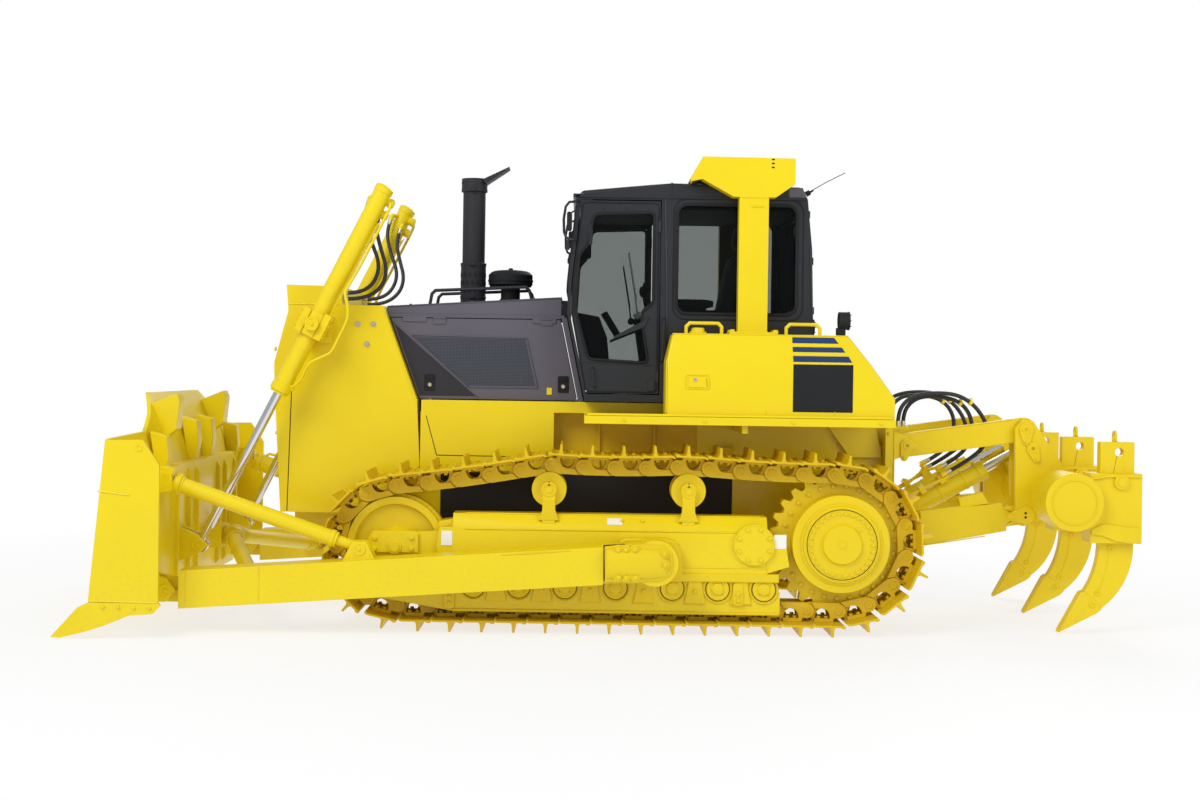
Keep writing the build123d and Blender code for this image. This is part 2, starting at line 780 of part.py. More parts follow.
def centre_struts():
    """Two tubes from the push arms to the joint behind the blade."""
    knuckle = pin_y(strut_joint_x - 40, strut_joint_z, 60, -strut_joint_y, strut_joint_y)
    start = (strut_arm_x, arm_inner_y - 60, strut_arm_z)
    end = (strut_joint_x - 40, strut_joint_y / 2, strut_joint_z)
    return knuckle + both_sides(bar(start, end, strut_radius) - strut_lug())


# Hoses
def hose_path(points):
    """A route's line: straight runs joined by bends as wide as the runs allow."""
    radii = []
    for before, corner, after in zip(points, points[1:], points[2:]):
        first, second = Vector(*corner) - Vector(*before), Vector(*after) - Vector(*corner)
        half_turn = math.radians(first.get_angle(second)) / 2
        radii.append(bend_share * min(first.length, second.length) / math.tan(half_turn))
    return FilletPolyline(*points, radius=radii), min(radii)


def hose(name, points, radius):
    """One hose along its route; prints its length, tightest bend and volume check."""
    path, tightest = hose_path(points)
    tube = sweep(Plane(origin=path @ 0, z_dir=path % 0) * Circle(radius), path=path)
    straight = math.pi * radius ** 2 * path.length
    print(name, "length", round(path.length), "tightest bend", round(tightest),
          "volume over section times length", round(tube.volume / straight, 4))
    return tube


def hose_port(anchor, points):
    """Pipe from an anchor to a hose's first point, with the fitting that the hose screws on."""
    first, second = Vector(*points[0]), Vector(*points[1])
    back = first - (second - first).normalized() * port_length
    return bar(anchor, tuple(back), port_radius * 0.7) + bar(tuple(back), tuple(first), port_radius)


def lift_hoses():
    """Two hoses a side from the radiator guard's visor to a lift cylinder."""
    hoses = [hose("lift hose", route, lift_hose_radius) for route in lift_hose_routes]
    return Compound(children=hoses + [mirror(tube, about=Plane.XZ) for tube in hoses])


def ripper_hose_routes():
    """Routes of the two hoses of a ripper cylinder, down to its ports."""
    out, _ = ripper_direction()
    above = Vector(-out.Z, 0, out.X) * -1
    base = Vector(ripper_base[0], 0, ripper_base[1])
    routes = []
    for y, bends, height in zip(ripper_hose_y, ripper_hose_bends, ripper_port_heights):
        end = base + out * ripper_port_along + above * height + Vector(0, y, 0)
        points = [(x, y, z) for x, z in bends]
        routes.append(points + [tuple(end + out * ripper_last_run), tuple(end)])
    return routes


def ripper_hoses():
    """Two hoses a side from the shelf on the rear plate to a ripper cylinder."""
    hoses = [hose("ripper hose", route, ripper_hose_radius) for route in ripper_hose_routes()]
    return Compound(children=hoses + [mirror(tube, about=Plane.XZ) for tube in hoses])


# Cylinders
def lift_direction():
    """Unit vector down a lift cylinder, and its length at rest."""
    line = Vector(lift_pin_x - yoke_x, 0, lift_pin_z - yoke_z)
    return line.normalized(), line.length


def lift_barrel():
    """Barrel with its trunnion collar, open for the rod."""
    down, _ = lift_direction()
    yoke = Vector(yoke_x, lift_y, yoke_z)
    low, high = yoke + down * lift_barrel_below, yoke - down * lift_barrel_above
    body = bar(tuple(low), tuple(high), lift_barrel_radius)
    body = body + bar(tuple(yoke + down * lift_collar_half), tuple(yoke - down * lift_collar_half), lift_collar_radius)
    body = body + pin_y(yoke_x, yoke_z, lift_trunnion_radius, lift_y - 150, lift_y + 120)
    for place, route in zip(lift_port_places, lift_hose_routes):
        body = body + hose_port(tuple(yoke - down * place), route)
    bore_top = yoke - down * (lift_barrel_above - 60)
    return body - bar(tuple(low + down * 5), tuple(bore_top), lift_rod_radius + rod_clearance)


def lift_rod():
    """Polished rod with an eye for the blade's lift pin."""
    down, length = lift_direction()
    yoke = Vector(yoke_x, lift_y, yoke_z)
    pin = yoke + down * length
    rod = bar(tuple(pin), tuple(pin - down * lift_rod_length), lift_rod_radius)
    return rod + pin_y(
        lift_pin_x, lift_pin_z, lift_eye_radius, lift_y - lift_eye_width / 2, lift_y + lift_eye_width / 2
    )


# Main frame and bodywork
def main_frame():
    """Rear case, side rails, cross members, belly plate and axle tubes."""
    case_outline = [
        (-600, belly_z + 40), (-600, deck_bottom_z - 40), (-1850, deck_bottom_z - 40),
        (mount_face_x + mount_plate, 1250), (mount_face_x + mount_plate, 560), (-1700, belly_z),
    ]
    shapes = [side_plate(case_outline, -case_half_width, case_half_width)]
    for side in (-1, 1):
        low = side * (case_half_width - rail_plate / 2) - rail_plate / 2
        shapes.append(block(-700, 2300, low, low + rail_plate, rail_bottom_z, rail_top_z))
    inner = case_half_width - rail_plate
    for x in (420, 1250, 2200):
        shapes.append(block(x, x + 100, -inner - 5, inner + 5, rail_bottom_z, rail_bottom_z + 90))
    shapes.append(side_plate(
        [(-700, belly_z), (1700, belly_z), (2200, rail_bottom_z), (2200, rail_bottom_z + 40),
         (1690, belly_z + 40), (-700, belly_z + 40)],
        -case_half_width, case_half_width,
    ))
    for side in (-1, 1):
        low = side * (case_half_width - rail_plate / 2) - rail_plate / 2
        shapes.append(block(-700, 1500, low, low + rail_plate, belly_z, rail_bottom_z + 5))
    drive_end = track_y - 210
    shapes.append(pin_y(sprocket_x, sprocket_z, final_drive_radius, -drive_end, drive_end))
    shapes.append(pin_y(pivot_x, pivot_z, 90, -frame_inner_y, frame_inner_y))
    shapes.append(block(1000, 1100, -frame_inner_y, frame_inner_y, 470, 600))
    return fused(shapes)


def engine_block():
    """Engine as one plain block on the cross members."""
    return block(400, 1340, -engine_half_width, engine_half_width, rail_bottom_z + 90, 2030)


def guard_rear_x(z):
    """Rear slope of the radiator guard, which the hood follows."""
    return 1664 - (guard_top_z - z) * (1664 - 1415) / (guard_top_z - deck_top_z)


def guard_front_x(z):
    """Front face of the radiator guard."""
    for (low_x, low_z), (high_x, high_z) in zip(guard_front, guard_front[1:]):
        if z <= high_z:
            return low_x + (z - low_z) / (high_z - low_z) * (high_x - low_x)
    return guard_front[-1][0]


def radiator_guard():
    """Welded guard round the radiator, with its grille, visor and lower side sheets."""
    nose = [
        *guard_front, (guard_front[-1][0], guard_top_z), (guard_rear_x(guard_top_z), guard_top_z),
        (guard_rear_x(deck_top_z), deck_top_z), (1390, rail_top_z + 20), (1700, guard_front[0][1]),
    ]
    outer = side_plate(nose, -guard_half_width, guard_half_width)
    inside = guard_half_width - guard_sheet
    inner = extrude(
        offset(side_face(nose, -inside), amount=-guard_sheet, kind=Kind.INTERSECTION),
        amount=2 * inside, dir=(0, 1, 0),
    )
    shell = outer - inner
    shell = shell - block(2250, 2500, -mouth_half_width, mouth_half_width, mouth_low_z, mouth_high_z)
    shell = shell - block(1300, 1800, -hood_half_width + 30, hood_half_width - 30, deck_top_z + 30, guard_top_z - 90)
    shell = shell - block(1200, 2500, -case_half_width - 5, case_half_width + 5, 700, rail_top_z + 40)
    visor = side_plate(
        [(2345, guard_top_z - 25), (2358, visor_top_z), (1960, visor_top_z - 8), (1960, guard_top_z - 5)],
        -guard_half_width, guard_half_width,
    )
    shell = shell + visor
    yoke_bracket = side_plate(
        [(yoke_x - 110, yoke_z - 130), (yoke_x + 90, yoke_z - 130), (yoke_x + 80, yoke_z + 80),
         (yoke_x - 80, yoke_z + 80)],
        guard_half_width - 5, lift_y - lift_collar_radius - 12,
    )
    yoke_bracket = yoke_bracket - pin_y(
        yoke_x, yoke_z, lift_trunnion_radius + pin_clearance, guard_half_width + 20, lift_y
    )
    return shell + both_sides(yoke_bracket) + radiator_grille()


def side_sheets():
    """Lower yellow sheets beside the engine."""
    sheet = side_plate(
        [(433, rail_top_z - 10), (1388, rail_top_z - 10), (1388, deck_bottom_z), (433, deck_bottom_z)],
        guard_half_width - guard_sheet, guard_half_width,
    )
    stay = block(500, 560, case_half_width, guard_half_width - guard_sheet + 5, rail_top_z - 60, rail_top_z + 20)
    return both_sides(sheet + stay)


def radiator_grille():
    """Level bars across the guard's mouth, tied by two upright straps."""
    shapes = []
    for row in range(grille_bars):
        z = mouth_low_z + (row + 0.5) * (mouth_high_z - mouth_low_z) / grille_bars
        x = guard_front_x(z)
        shapes.append(block(
            x - guard_sheet, x - 6, -mouth_half_width - 5, mouth_half_width + 5, z - grille_bar / 2, z + grille_bar / 2
        ))
    heights = [mouth_low_z - 5, *(z for _, z in guard_front[1:3]), mouth_high_z + 5]
    strap = [(guard_front_x(z) - guard_sheet - 15, z) for z in heights]
    strap = strap + [(guard_front_x(z) - guard_sheet + 2, z) for z in reversed(heights)]
    for y in (-160, 160):
        shapes.append(side_plate(strap, y - 15, y + 15))
    return fused(shapes)


def radiator_core():
    """Cooling core behind the grille."""
    return block(2180, 2260, -440, 440, rail_top_z, 2060)


def hood_top():
    """Crowned engine cover between the guard and the cab."""
    low = hood_seam_z + 4
    outline = [
        (guard_rear_x(guard_top_z) - 2, hood_front_top_z), (hood_rear_x, hood_rear_top_z), (hood_rear_x - 25, low),
        (guard_rear_x(low) - 2, low),
    ]
    solid = side_plate(outline, -hood_half_width, hood_half_width)
    corner = Polygon(
        (hood_crown_half, hood_front_top_z - 12), (hood_half_width + 1, low + 14),
        (hood_half_width + 1, hood_rear_top_z + 200), (hood_crown_half, hood_rear_top_z + 200), align=None,
    )
    plane = Plane(origin=(hood_rear_x - 100, 0, 0), x_dir=(0, 1, 0), z_dir=(1, 0, 0))
    solid = solid - both_sides(extrude(plane * corner, amount=1500))
    inner = side_plate(
        [(outline[0][0] + 60, low - 1), (outline[1][0] - 60, low - 1),
         (outline[1][0] - 60, hood_rear_top_z - hood_sheet), (outline[0][0] + 60, hood_front_top_z - hood_sheet - 8)],
        -hood_crown_half - 20, hood_crown_half + 20,
    )
    foot_x, head_x = cab_front_x(deck_top_z), cab_front_x(low)
    post = side_plate(
        [(foot_x + door_gap, deck_top_z), (foot_x + hood_post, deck_top_z), (head_x + hood_post, low + 5),
         (head_x + door_gap, low + 5)],
        hood_half_width - hood_sheet, hood_half_width,
    )
    return solid - inner + both_sides(post)


def above_hood(shape):
    """Trims what stands on the hood to its sloping crown."""
    length = hood_front_x - hood_rear_x
    under = side_plate(
        [(hood_front_x, hood_front_top_z - 100), (hood_front_x, hood_front_top_z), (hood_rear_x, hood_rear_top_z),
         (hood_rear_x, hood_front_top_z - 100)],
        -length / 2, length / 2,
    )
    return shape - under


def cab_level(share):
    """Height at a share of the way from the cab's floor to its eaves."""
    return cab_floor_z + share * (cab_eaves_z - cab_floor_z)


def cab_front_x(z):
    """Front slope of the cab below its windscreen's bend."""
    return 218 + (z - cab_floor_z) * (351 - 218) / (cab_level(cab_bend_share) - cab_floor_z)


def hood_door():
    """Gull-wing side door, hung from the hood's seam."""
    top, bottom = hood_seam_z - door_gap, deck_top_z + door_gap
    rear_gap = hood_post + door_gap
    outline = [
        (guard_rear_x(top) - 12, top), (cab_front_x(top) + rear_gap, top),
        (cab_front_x(bottom) + rear_gap, bottom), (guard_rear_x(bottom) - 12, bottom),
    ]
    door = side_plate(outline, hood_half_width - hood_sheet, hood_half_width)
    for x in hood_hinge_places:
        low, high = x - hood_hinge_length / 2, x + hood_hinge_length / 2
        door = door + block(low, high, hood_half_width - 4, hood_hinge_y, top - 40, hood_hinge_z)
        door = door + bar((low, hood_hinge_y, hood_hinge_z), (high, hood_hinge_y, hood_hinge_z), hinge_radius)
    return door


def deck():
    """Level deck round the engine, welded to the fenders and side sheets."""
    plate = block(cab_rear_x, 1384, -guard_half_width, guard_half_width, deck_bottom_z, deck_top_z)
    engine_bay = engine_half_width + 60
    plate = plate - block(330, 1500, -engine_bay, engine_bay, deck_bottom_z - 5, deck_top_z + 5)
    return plate + both_sides(fender()) + side_sheets()


def fender():
    """Fender plate over the track, with a turned-down edge and its stays."""
    plate = block(-1900, 220, case_half_width, fender_half_width, deck_bottom_z - 20, deck_bottom_z)
    lip = block(-1900, 220, fender_half_width - 20, fender_half_width, fender_bottom_z, deck_bottom_z)
    web = side_plate(
        [(-1880, deck_bottom_z - 15), (-1930, 1180), (-1700, 1180), (-1500, deck_bottom_z - 15)],
        case_half_width, case_half_width + 40,
    )
    web = web + block(-900, -860, case_half_width, fender_half_width - 60, deck_bottom_z - 110, deck_bottom_z - 15)
    return plate + lip + web


def tank():
    """Tank on the fender, with its creased shoulder."""
    outline = [
        (-337, deck_bottom_z), (-337, tank_crease_z), (-380, tank_top_z), (-1594, tank_top_z),
        (-1902, 1617), (-1902, deck_bottom_z),
    ]
    solid = side_plate(outline, tank_inner_y, tank_outer_y)
    crease = Polygon(
        (tank_outer_y - tank_crease_inset, tank_top_z), (tank_outer_y, tank_crease_z),
        (tank_outer_y + 10, tank_crease_z), (tank_outer_y + 10, tank_top_z + 10),
        (tank_outer_y - tank_crease_inset, tank_top_z + 10), align=None,
    )
    plane = Plane(origin=(-2000, 0, 0), x_dir=(0, 1, 0), z_dir=(1, 0, 0))
    return solid - extrude(plane * crease, amount=1800)


# Cab
def windscreen_line():
    """Corners of the cab's front in side view, from the eaves down to its bend."""
    return [
        (285, cab_eaves_z), (311, cab_level(0.8041)), (343, cab_level(0.6021)), (351, cab_level(cab_bend_share)),
    ]


def cab_profile():
    """Side outline of the cab below its roof."""
    return [
        *windscreen_line(), (cab_front_x(cab_floor_z), cab_floor_z),
        (cab_rear_x, cab_floor_z), (cab_rear_x, cab_level(0.4228)), (cab_rear_x + 13, cab_level(0.7538)),
        (cab_rear_x + 49, cab_eaves_z),
    ]


def door_profile():
    """Side outline of a cab door, one pillar behind the cab's front."""
    top, bottom = cab_eaves_z - 30, cab_floor_z + cab_wall + 10
    front = [(x - pillar_width, min(z, top)) for x, z in windscreen_line()]
    return [
        (door_hinge_x, top), *front, (cab_front_x(bottom) - pillar_width, bottom), (door_hinge_x, bottom),
    ]


def door_glass_profile():
    """Side outline of the door's window, with its cut-away lower rear corner."""
    corners = [
        (170, 0.9131), (-258, 0.9241), (-260, 0.4841), (-171, 0.4393), (-226, 0.191), (198, 0.2062),
        (292, 0.4441), (270, 0.7221), (209, 0.7566),
    ]
    return [(x, cab_level(share)) for x, share in corners]


def side_window():
    """Rear side window's outline."""
    low_x, high_x, low_z, high_z = -1265, -420, cab_level(0.4345), cab_level(0.9655)
    return Pos((low_x + high_x) / 2, (low_z + high_z) / 2) * RectangleRounded(high_x - low_x, high_z - low_z, 70)


def side_solid(face, y_low, y_high):
    """A side-view face given thickness along Y."""
    plane = Plane(origin=(0, y_low, 0), x_dir=(1, 0, 0), z_dir=(0, -1, 0))
    return extrude(plane * face, amount=y_high - y_low, dir=(0, 1, 0))


def windscreen_block():
    """The windscreen's opening, drawn from the front."""
    return block(200, 420, -640, 640, cab_level(0.5379), cab_level(0.9586))


def rear_window_block():
    """The rear window's opening, drawn from behind."""
    return block(cab_rear_x - 60, cab_rear_x + 160, -600, 600, cab_level(0.4759), cab_level(0.9448))


def cab_shell():
    """Cab walls and floor, with door openings and windows cut."""
    outer = side_plate(cab_profile(), -cab_half_width, cab_half_width)
    inside = cab_half_width - cab_wall
    inner = extrude(
        offset(side_face(cab_profile(), -inside), amount=-cab_wall, kind=Kind.INTERSECTION),
        amount=2 * inside, dir=(0, 1, 0),
    )
    shell = outer - inner
    opening = extrude(
        offset(side_face(door_profile(), -cab_half_width - 5), amount=door_gap, kind=Kind.INTERSECTION),
        amount=2 * cab_half_width + 10, dir=(0, 1, 0),
    )
    shell = shell - opening - side_solid(side_window(), -cab_half_width - 5, cab_half_width + 5)
    return shell - windscreen_block() - rear_window_block()


def cab_roof():
    """Roof pan above the cab's walls."""
    outline = [
        (285, cab_eaves_z), (253, cab_eaves_z + 40), (-376, cab_eaves_z + cab_roof_rise),
        (-1295, cab_eaves_z + cab_roof_rise - 17), (cab_rear_x + 49, cab_eaves_z),
    ]
    return side_plate(outline, -cab_half_width, cab_half_width)


def cab_glass():
    """Fixed panes: both rear sides, the windscreen and the rear window."""
    middle = cab_half_width - cab_wall / 2
    pane = side_solid(side_window(), middle - glass_thickness / 2, middle + glass_thickness / 2)
    panes = both_sides(pane)
    profile = cab_profile()
    band = side_plate(profile, -640, 640) - extrude(
        offset(side_face(profile, -641), amount=-glass_thickness, kind=Kind.INTERSECTION),
        amount=1282, dir=(0, 1, 0),
    )
    front = band & windscreen_block()
    rear = band & rear_window_block()
    return panes + front + rear


def cab_door():
    """Framed door with its window cut."""
    outer = cab_half_width
    solid = side_plate(door_profile(), outer - door_thickness, outer)
    solid = solid - side_plate(door_glass_profile(), outer - door_thickness - 5, outer + 5)
    for share in door_hinge_shares:
        low, high = cab_level(share) - 40, cab_level(share) + 40
        solid = solid + block(door_pin_x, door_pin_x + 40, outer - 5, door_pin_y, low, high)
        solid = solid + bar((door_pin_x, door_pin_y, low), (door_pin_x, door_pin_y, high), door_pin_radius)
    return solid


def door_glass():
    """Pane of a cab door."""
    middle = cab_half_width - door_thickness / 2
    return side_plate(door_glass_profile(), middle - glass_thickness / 2, middle + glass_thickness / 2)


def operator_seat():
    """Seat on its pedestal, with arm consoles."""
    seat_z, cushion_z, head_z = cab_level(0.2897), cab_level(0.3793), cab_level(0.8276)
    seat = block(-780, -260, -260, 260, seat_z, cushion_z)
    back = side_plate(
        [(-700, seat_z + 20), (-780, cushion_z), (-900, head_z), (-1010, head_z - 20), (-900, seat_z + 20)], -240, 240
    )
    pedestal = block(-720, -330, -200, 200, cab_floor_z + cab_wall, seat_z)
    consoles = both_sides(block(-760, -240, 300, 420, cab_floor_z + cab_wall, cab_level(0.4621)))
    return pedestal + seat + back + consoles


def rollover_frame():
    """Posts on the tanks, with a beam over the roof and a cheek at each end."""
    post = block(post_rear_x, post_front_x, rops_inner_y + 5, rops_outer_y - 5, tank_top_z, post_top_z + 40)
    foot = block(post_rear_x - 62, post_front_x + 68, rops_inner_y, tank_outer_y - 120, tank_top_z, tank_top_z + 20)
    cheek = [
        (rops_front_x, rops_top_z), (rops_rear_x, rops_top_z - 6), (rops_rear_x, rops_top_z - rops_rear_depth),
        (post_rear_x - 48, post_top_z), (post_front_x + 40, post_top_z),
        (rops_front_x + 3, rops_top_z - rops_front_depth),
    ]
    sides = both_sides(side_plate(cheek, rops_inner_y, rops_outer_y) + post + foot)
    return sides + block(
        rops_rear_x + 10, rops_front_x - 10, -rops_inner_y - 5, rops_inner_y + 5, rops_beam_bottom_z, rops_top_z - 5
    )


def hood_height(x):
    """Height of the hood's crown."""
    share = (hood_front_x - x) / (hood_front_x - hood_rear_x)
    return hood_front_top_z + share * (hood_rear_top_z - hood_front_top_z)


def exhaust_stack():
    """Exhaust pipe with its sleeve and open rain cap."""
    base = hood_height(stack_x) - 20
    pipe = bar((stack_x, 0, base), (stack_x, 0, stack_top_z), stack_radius, stack_radius - 6)
    sleeve = bar((stack_x, 0, base), (stack_x, 0, 2562), stack_radius + 10, stack_radius - 2)
    collar = bar((stack_x, 0, stack_top_z - 45), (stack_x, 0, stack_top_z + 40), stack_radius + 12, stack_radius - 6)
    flap = side_plate(
        [(stack_x - 60, stack_top_z + 30), (stack_x - 262, stack_top_z + 128),
         (stack_x - 262, stack_top_z + 116), (stack_x - 90, stack_top_z)],
        -stack_radius, stack_radius,
    )
    return above_hood(pipe + sleeve + collar + flap)


def air_cleaner():
    """Air intake bowl on its neck."""
    base = hood_height(cleaner_x) - 20
    profile = [
        (0, base), (72, base), (72, 2410), (cleaner_radius, 2410), (cleaner_radius, cleaner_top_z - 30),
        (cleaner_radius - 40, cleaner_top_z), (0, cleaner_top_z),
    ]
    plane = Plane(origin=(cleaner_x, 0, 0), x_dir=(1, 0, 0), z_dir=(0, -1, 0))
    return above_hood(revolve(plane * Polygon(*profile, align=None), Axis((cleaner_x, 0, 0), (0, 0, 1))))


def handle(points):
    """A rail of round bar, mitred at each bend."""
    path = Polyline(*points)
    return sweep(
        Plane(origin=path @ 0, z_dir=path % 0) * Circle(rail_radius), path=path, transition=Transition.RIGHT
    )


def grab_rails():
    """Rails on the hood and on the tanks."""
    front_x, rear_x, y, top = 1360.0, 612.0, 300.0, 2348.0
    sunk = 9.0
    rails = [above_hood(handle([
        (front_x, y, hood_height(front_x) - sunk), (front_x - 15, y, top - rail_bend),
        (front_x - 15 - rail_bend, y, top), (rear_x + 20 + rail_bend, y, top + 34),
        (rear_x + 20, y, top + 34 - rail_bend), (rear_x, y, hood_height(rear_x) - sunk),
    ]))]
    top = tank_top_z + 78
    for low_x, high_x in tank_rail_spans:
        rails.append(handle([
            (high_x, 985, tank_top_z), (high_x, 985, top - rail_bend), (high_x - rail_bend, 985, top),
            (low_x + rail_bend, 985, top), (low_x, 985, top - rail_bend), (low_x, 985, tank_top_z),
        ]))
    return Compound(children=rails + [mirror(rail, about=Plane.XZ) for rail in rails])


def work_lamps():
    """Rear lamps on brackets behind the tanks' handles."""
    bracket = block(-1590, -1530, 870, 930, tank_top_z, tank_top_z + 60)
    lamp = turned_x(-1610, 900, 2150, 62, 66)
    return both_sides(bracket + lamp)


def turned_x(x, y, z, radius, length):
    """A short drum with its axis along X."""
    return extrude(Plane(origin=(x, y, z), z_dir=(1, 0, 0)) * Circle(radius), amount=length)


# Ripper
def ear_pair(outline, y_middle, width, hole_list):
    """Two ears either side of an eye, with pins across them."""
    shapes = []
    for side in (-1, 1):
        low = y_middle + side * (width / 2 + link_gap + ear_thickness / 2) - ear_thickness / 2
        shapes.append(side_plate(outline, low, low + ear_thickness))
    reach = width / 2 + link_gap + ear_thickness - 5
    for x, z in hole_list:
        shapes.append(pin_y(x, z, link_pin_radius, y_middle - reach, y_middle + reach))
    return fused(shapes)


def ripper_mount():
    """Rear plate with ears for the links and the lift cylinders."""
    rear_x = mount_face_x
    plate = block(rear_x, rear_x + mount_plate, -590, 590, 560, 1430)
    upper = [
        (rear_x + 10, upper_front[1] - 110), (rear_x + 10, upper_front[1] + 100),
        (upper_front[0], upper_front[1] + 70), (upper_front[0] - 70, upper_front[1]),
        (upper_front[0], upper_front[1] - 70),
    ]
    lower = [(x + lower_front[0] - upper_front[0] if x < rear_x else x, z + lower_front[1] - upper_front[1])
             for x, z in upper]
    base = [
        (rear_x + 10, ripper_base[1] - 80), (rear_x + 10, ripper_base[1] + 80),
        (ripper_base[0], ripper_base[1] + 55), (ripper_base[0] - 55, ripper_base[1]),
        (ripper_base[0], ripper_base[1] - 55),
    ]
    left = ear_pair(upper, ripper_y, link_width, [upper_front])
    left = left + ear_pair(lower, ripper_y, link_width, [lower_front])
    left = left + ear_pair(base, ripper_cylinder_y, ripper_eye_width, [ripper_base])
    shelf_rear_x = ripper_hose_bends[0][0][0] - 2 * ripper_hose_radius
    left = left + block(
        shelf_rear_x, rear_x + 5, ripper_hose_y[0] - 35, ripper_hose_y[1] + 35, ripper_shelf_z - ripper_shelf,
        ripper_shelf_z,
    )
    return plate + both_sides(left)


def ripper_upper_links():
    """Upper link on each side."""
    low, high = ripper_y - link_width / 2, ripper_y + link_width / 2
    link = eye_bar(upper_front, upper_rear, upper_link_depth, link_eye_radius, low, high)
    for pin in (upper_front, upper_rear):
        link = link - pin_y(*pin, link_pin_radius + pin_clearance, low - 5, high + 5)
    return Compound(children=[link, mirror(link, about=Plane.XZ)])


def ripper_lower_arm():
    """Two deep side arms joined by a cross tube near the beam."""
    low, high = ripper_y - link_width / 2, ripper_y + link_width / 2
    arm = eye_bar(lower_front, lower_rear, lower_arm_depth * 0.7, link_eye_radius, low, high)
    share_low, share_high = 0.14, 0.84
    dx, dz = lower_rear[0] - lower_front[0], lower_rear[1] - lower_front[1]
    front = (lower_front[0] + dx * share_low, lower_front[1] + dz * share_low)
    rear = (lower_front[0] + dx * share_high, lower_front[1] + dz * share_high)
    arm = arm + side_plate(link_outline(front, rear, lower_arm_depth * 1.25, lower_arm_depth), low, high)
    for pin in (lower_front, lower_rear):
        arm = arm - pin_y(*pin, link_pin_radius + pin_clearance, low - 5, high + 5)
    tube_share = 0.78
    tube_x, tube_z = lower_front[0] + dx * tube_share, lower_front[1] + dz * tube_share
    return both_sides(arm) + pin_y(tube_x, tube_z, 60, -low - 5, low + 5)


def ripper_direction():
    """Unit vector from a ripper cylinder's base to its rod pin, and the distance."""
    line = Vector(ripper_rod_pin[0] - ripper_base[0], 0, ripper_rod_pin[1] - ripper_base[1])
    return line.normalized(), line.length


def ripper_barrels():
    """Barrels of the two ripper cylinders."""
    out, _ = ripper_direction()
    base = Vector(ripper_base[0], ripper_cylinder_y, ripper_base[1])
    half = ripper_eye_width / 2
    body = bar(tuple(base + out * 75), tuple(base + out * ripper_barrel_length), ripper_barrel_radius)
    body = body + bar(tuple(base), tuple(base + out * 90), half)
    body = body + pin_y(*ripper_base, 58, ripper_cylinder_y - half, ripper_cylinder_y + half)
    for route in ripper_hose_routes():
        body = body + hose_port(tuple(base + out * ripper_port_along), route[::-1])
    body = body - pin_y(*ripper_base, link_pin_radius + pin_clearance, ripper_cylinder_y - 40, ripper_cylinder_y + 40)
    body = body - bar(
        tuple(base + out * 110), tuple(base + out * (ripper_barrel_length + 5)), ripper_rod_radius + rod_clearance
    )
    return Compound(children=[body, mirror(body, about=Plane.XZ)])


def ripper_rods():
    """Rods of the two ripper cylinders, each with its eye."""
    out, length = ripper_direction()
    base = Vector(ripper_base[0], ripper_cylinder_y, ripper_base[1])
    pin = base + out * length
    half = ripper_eye_width / 2
    rod = bar(tuple(pin), tuple(pin - out * ripper_rod_length), ripper_rod_radius)
    rod = rod + pin_y(*ripper_rod_pin, 55, ripper_cylinder_y - half, ripper_cylinder_y + half)
    return Compound(children=[rod, mirror(rod, about=Plane.XZ)])


def ripper_beam():
    """Cross beam with link ears in front and shank holders behind."""
    beam = pin_y(beam_x, beam_z, beam_middle_radius, -beam_half_length, beam_half_length)
    end_low = beam_half_length - beam_end_length
    beam = beam + both_sides(pin_y(beam_x, beam_z, beam_radius, end_low, beam_half_length))
    link_ear = [
        (upper_rear[0] + 78, upper_rear[1] + 10), (upper_rear[0] + 20, upper_rear[1] + 76),
        (upper_rear[0] - 50, upper_rear[1] + 62), (beam_x - 90, beam_z + 190), (beam_x - 60, beam_z - 120),
        (lower_rear[0], lower_rear[1] - 74), (lower_rear[0] + 76, lower_rear[1]),
    ]
    ears = ear_pair(link_ear, ripper_y, link_width, [upper_rear, lower_rear])
    rod_ear = [
        (ripper_rod_pin[0] + 58, ripper_rod_pin[1]), (ripper_rod_pin[0], ripper_rod_pin[1] + 62),
        (ripper_rod_pin[0] - 80, ripper_rod_pin[1] + 40), (beam_x - 90, beam_z + 60), (beam_x + 80, beam_z + 60),
    ]
    rod_ears = ear_pair(rod_ear, ripper_cylinder_y, ripper_eye_width, [])
    shapes = [beam, both_sides(ears), both_sides(rod_ears)]
    half = shank_thickness / 2
    for y in shank_places:
        outer = block(
            shank_rear_x - 37, shank_front_x + 80, y - half - holder_wall, y + half + holder_wall,
            holder_bottom_z, holder_top_z,
        )
        shapes.append(outer)
    total = fused(shapes)
    for y in shank_places:
        total = total - block(
            shank_rear_x, shank_front_x, y - half, y + half, holder_bottom_z - 200, holder_top_z + 200
        )
    return total


def ripper_shanks():
    """Three curved shanks with their points."""
    front_low = (-3263.0, 297.0)
    rear_low = (-3382.0, 181.0)
    outline = (
        Polyline((shank_front_x, holder_bottom_z - 5), (shank_front_x, shank_top_z), (shank_rear_x, shank_top_z),
                 (shank_rear_x, holder_bottom_z - 5))
        + ThreePointArc((shank_rear_x, holder_bottom_z - 5), (-3530, 350), rear_low)
        + Polyline(rear_low, (rear_low[0] + 30, rear_low[1] - 30), shank_tip,
                   (front_low[0] + 26, front_low[1] - 10), front_low)
        + ThreePointArc(front_low, (-3337, 460), (shank_front_x, holder_bottom_z - 5))
    )
    face = make_face(outline) - Pos(*shank_hole) * Circle(shank_hole_radius)
    half = shank_thickness / 2
    return Compound(children=[side_solid(face, y - half, y + half) for y in shank_places])


def save(node, shape):
    """Write one node's STEP file."""
    export_step(shape, f"parts/{node}.step")


def pair(shape):
    """A left piece and its mirror image, kept as separate solids."""
    return Compound(children=[shape, mirror(shape, about=Plane.XZ)])


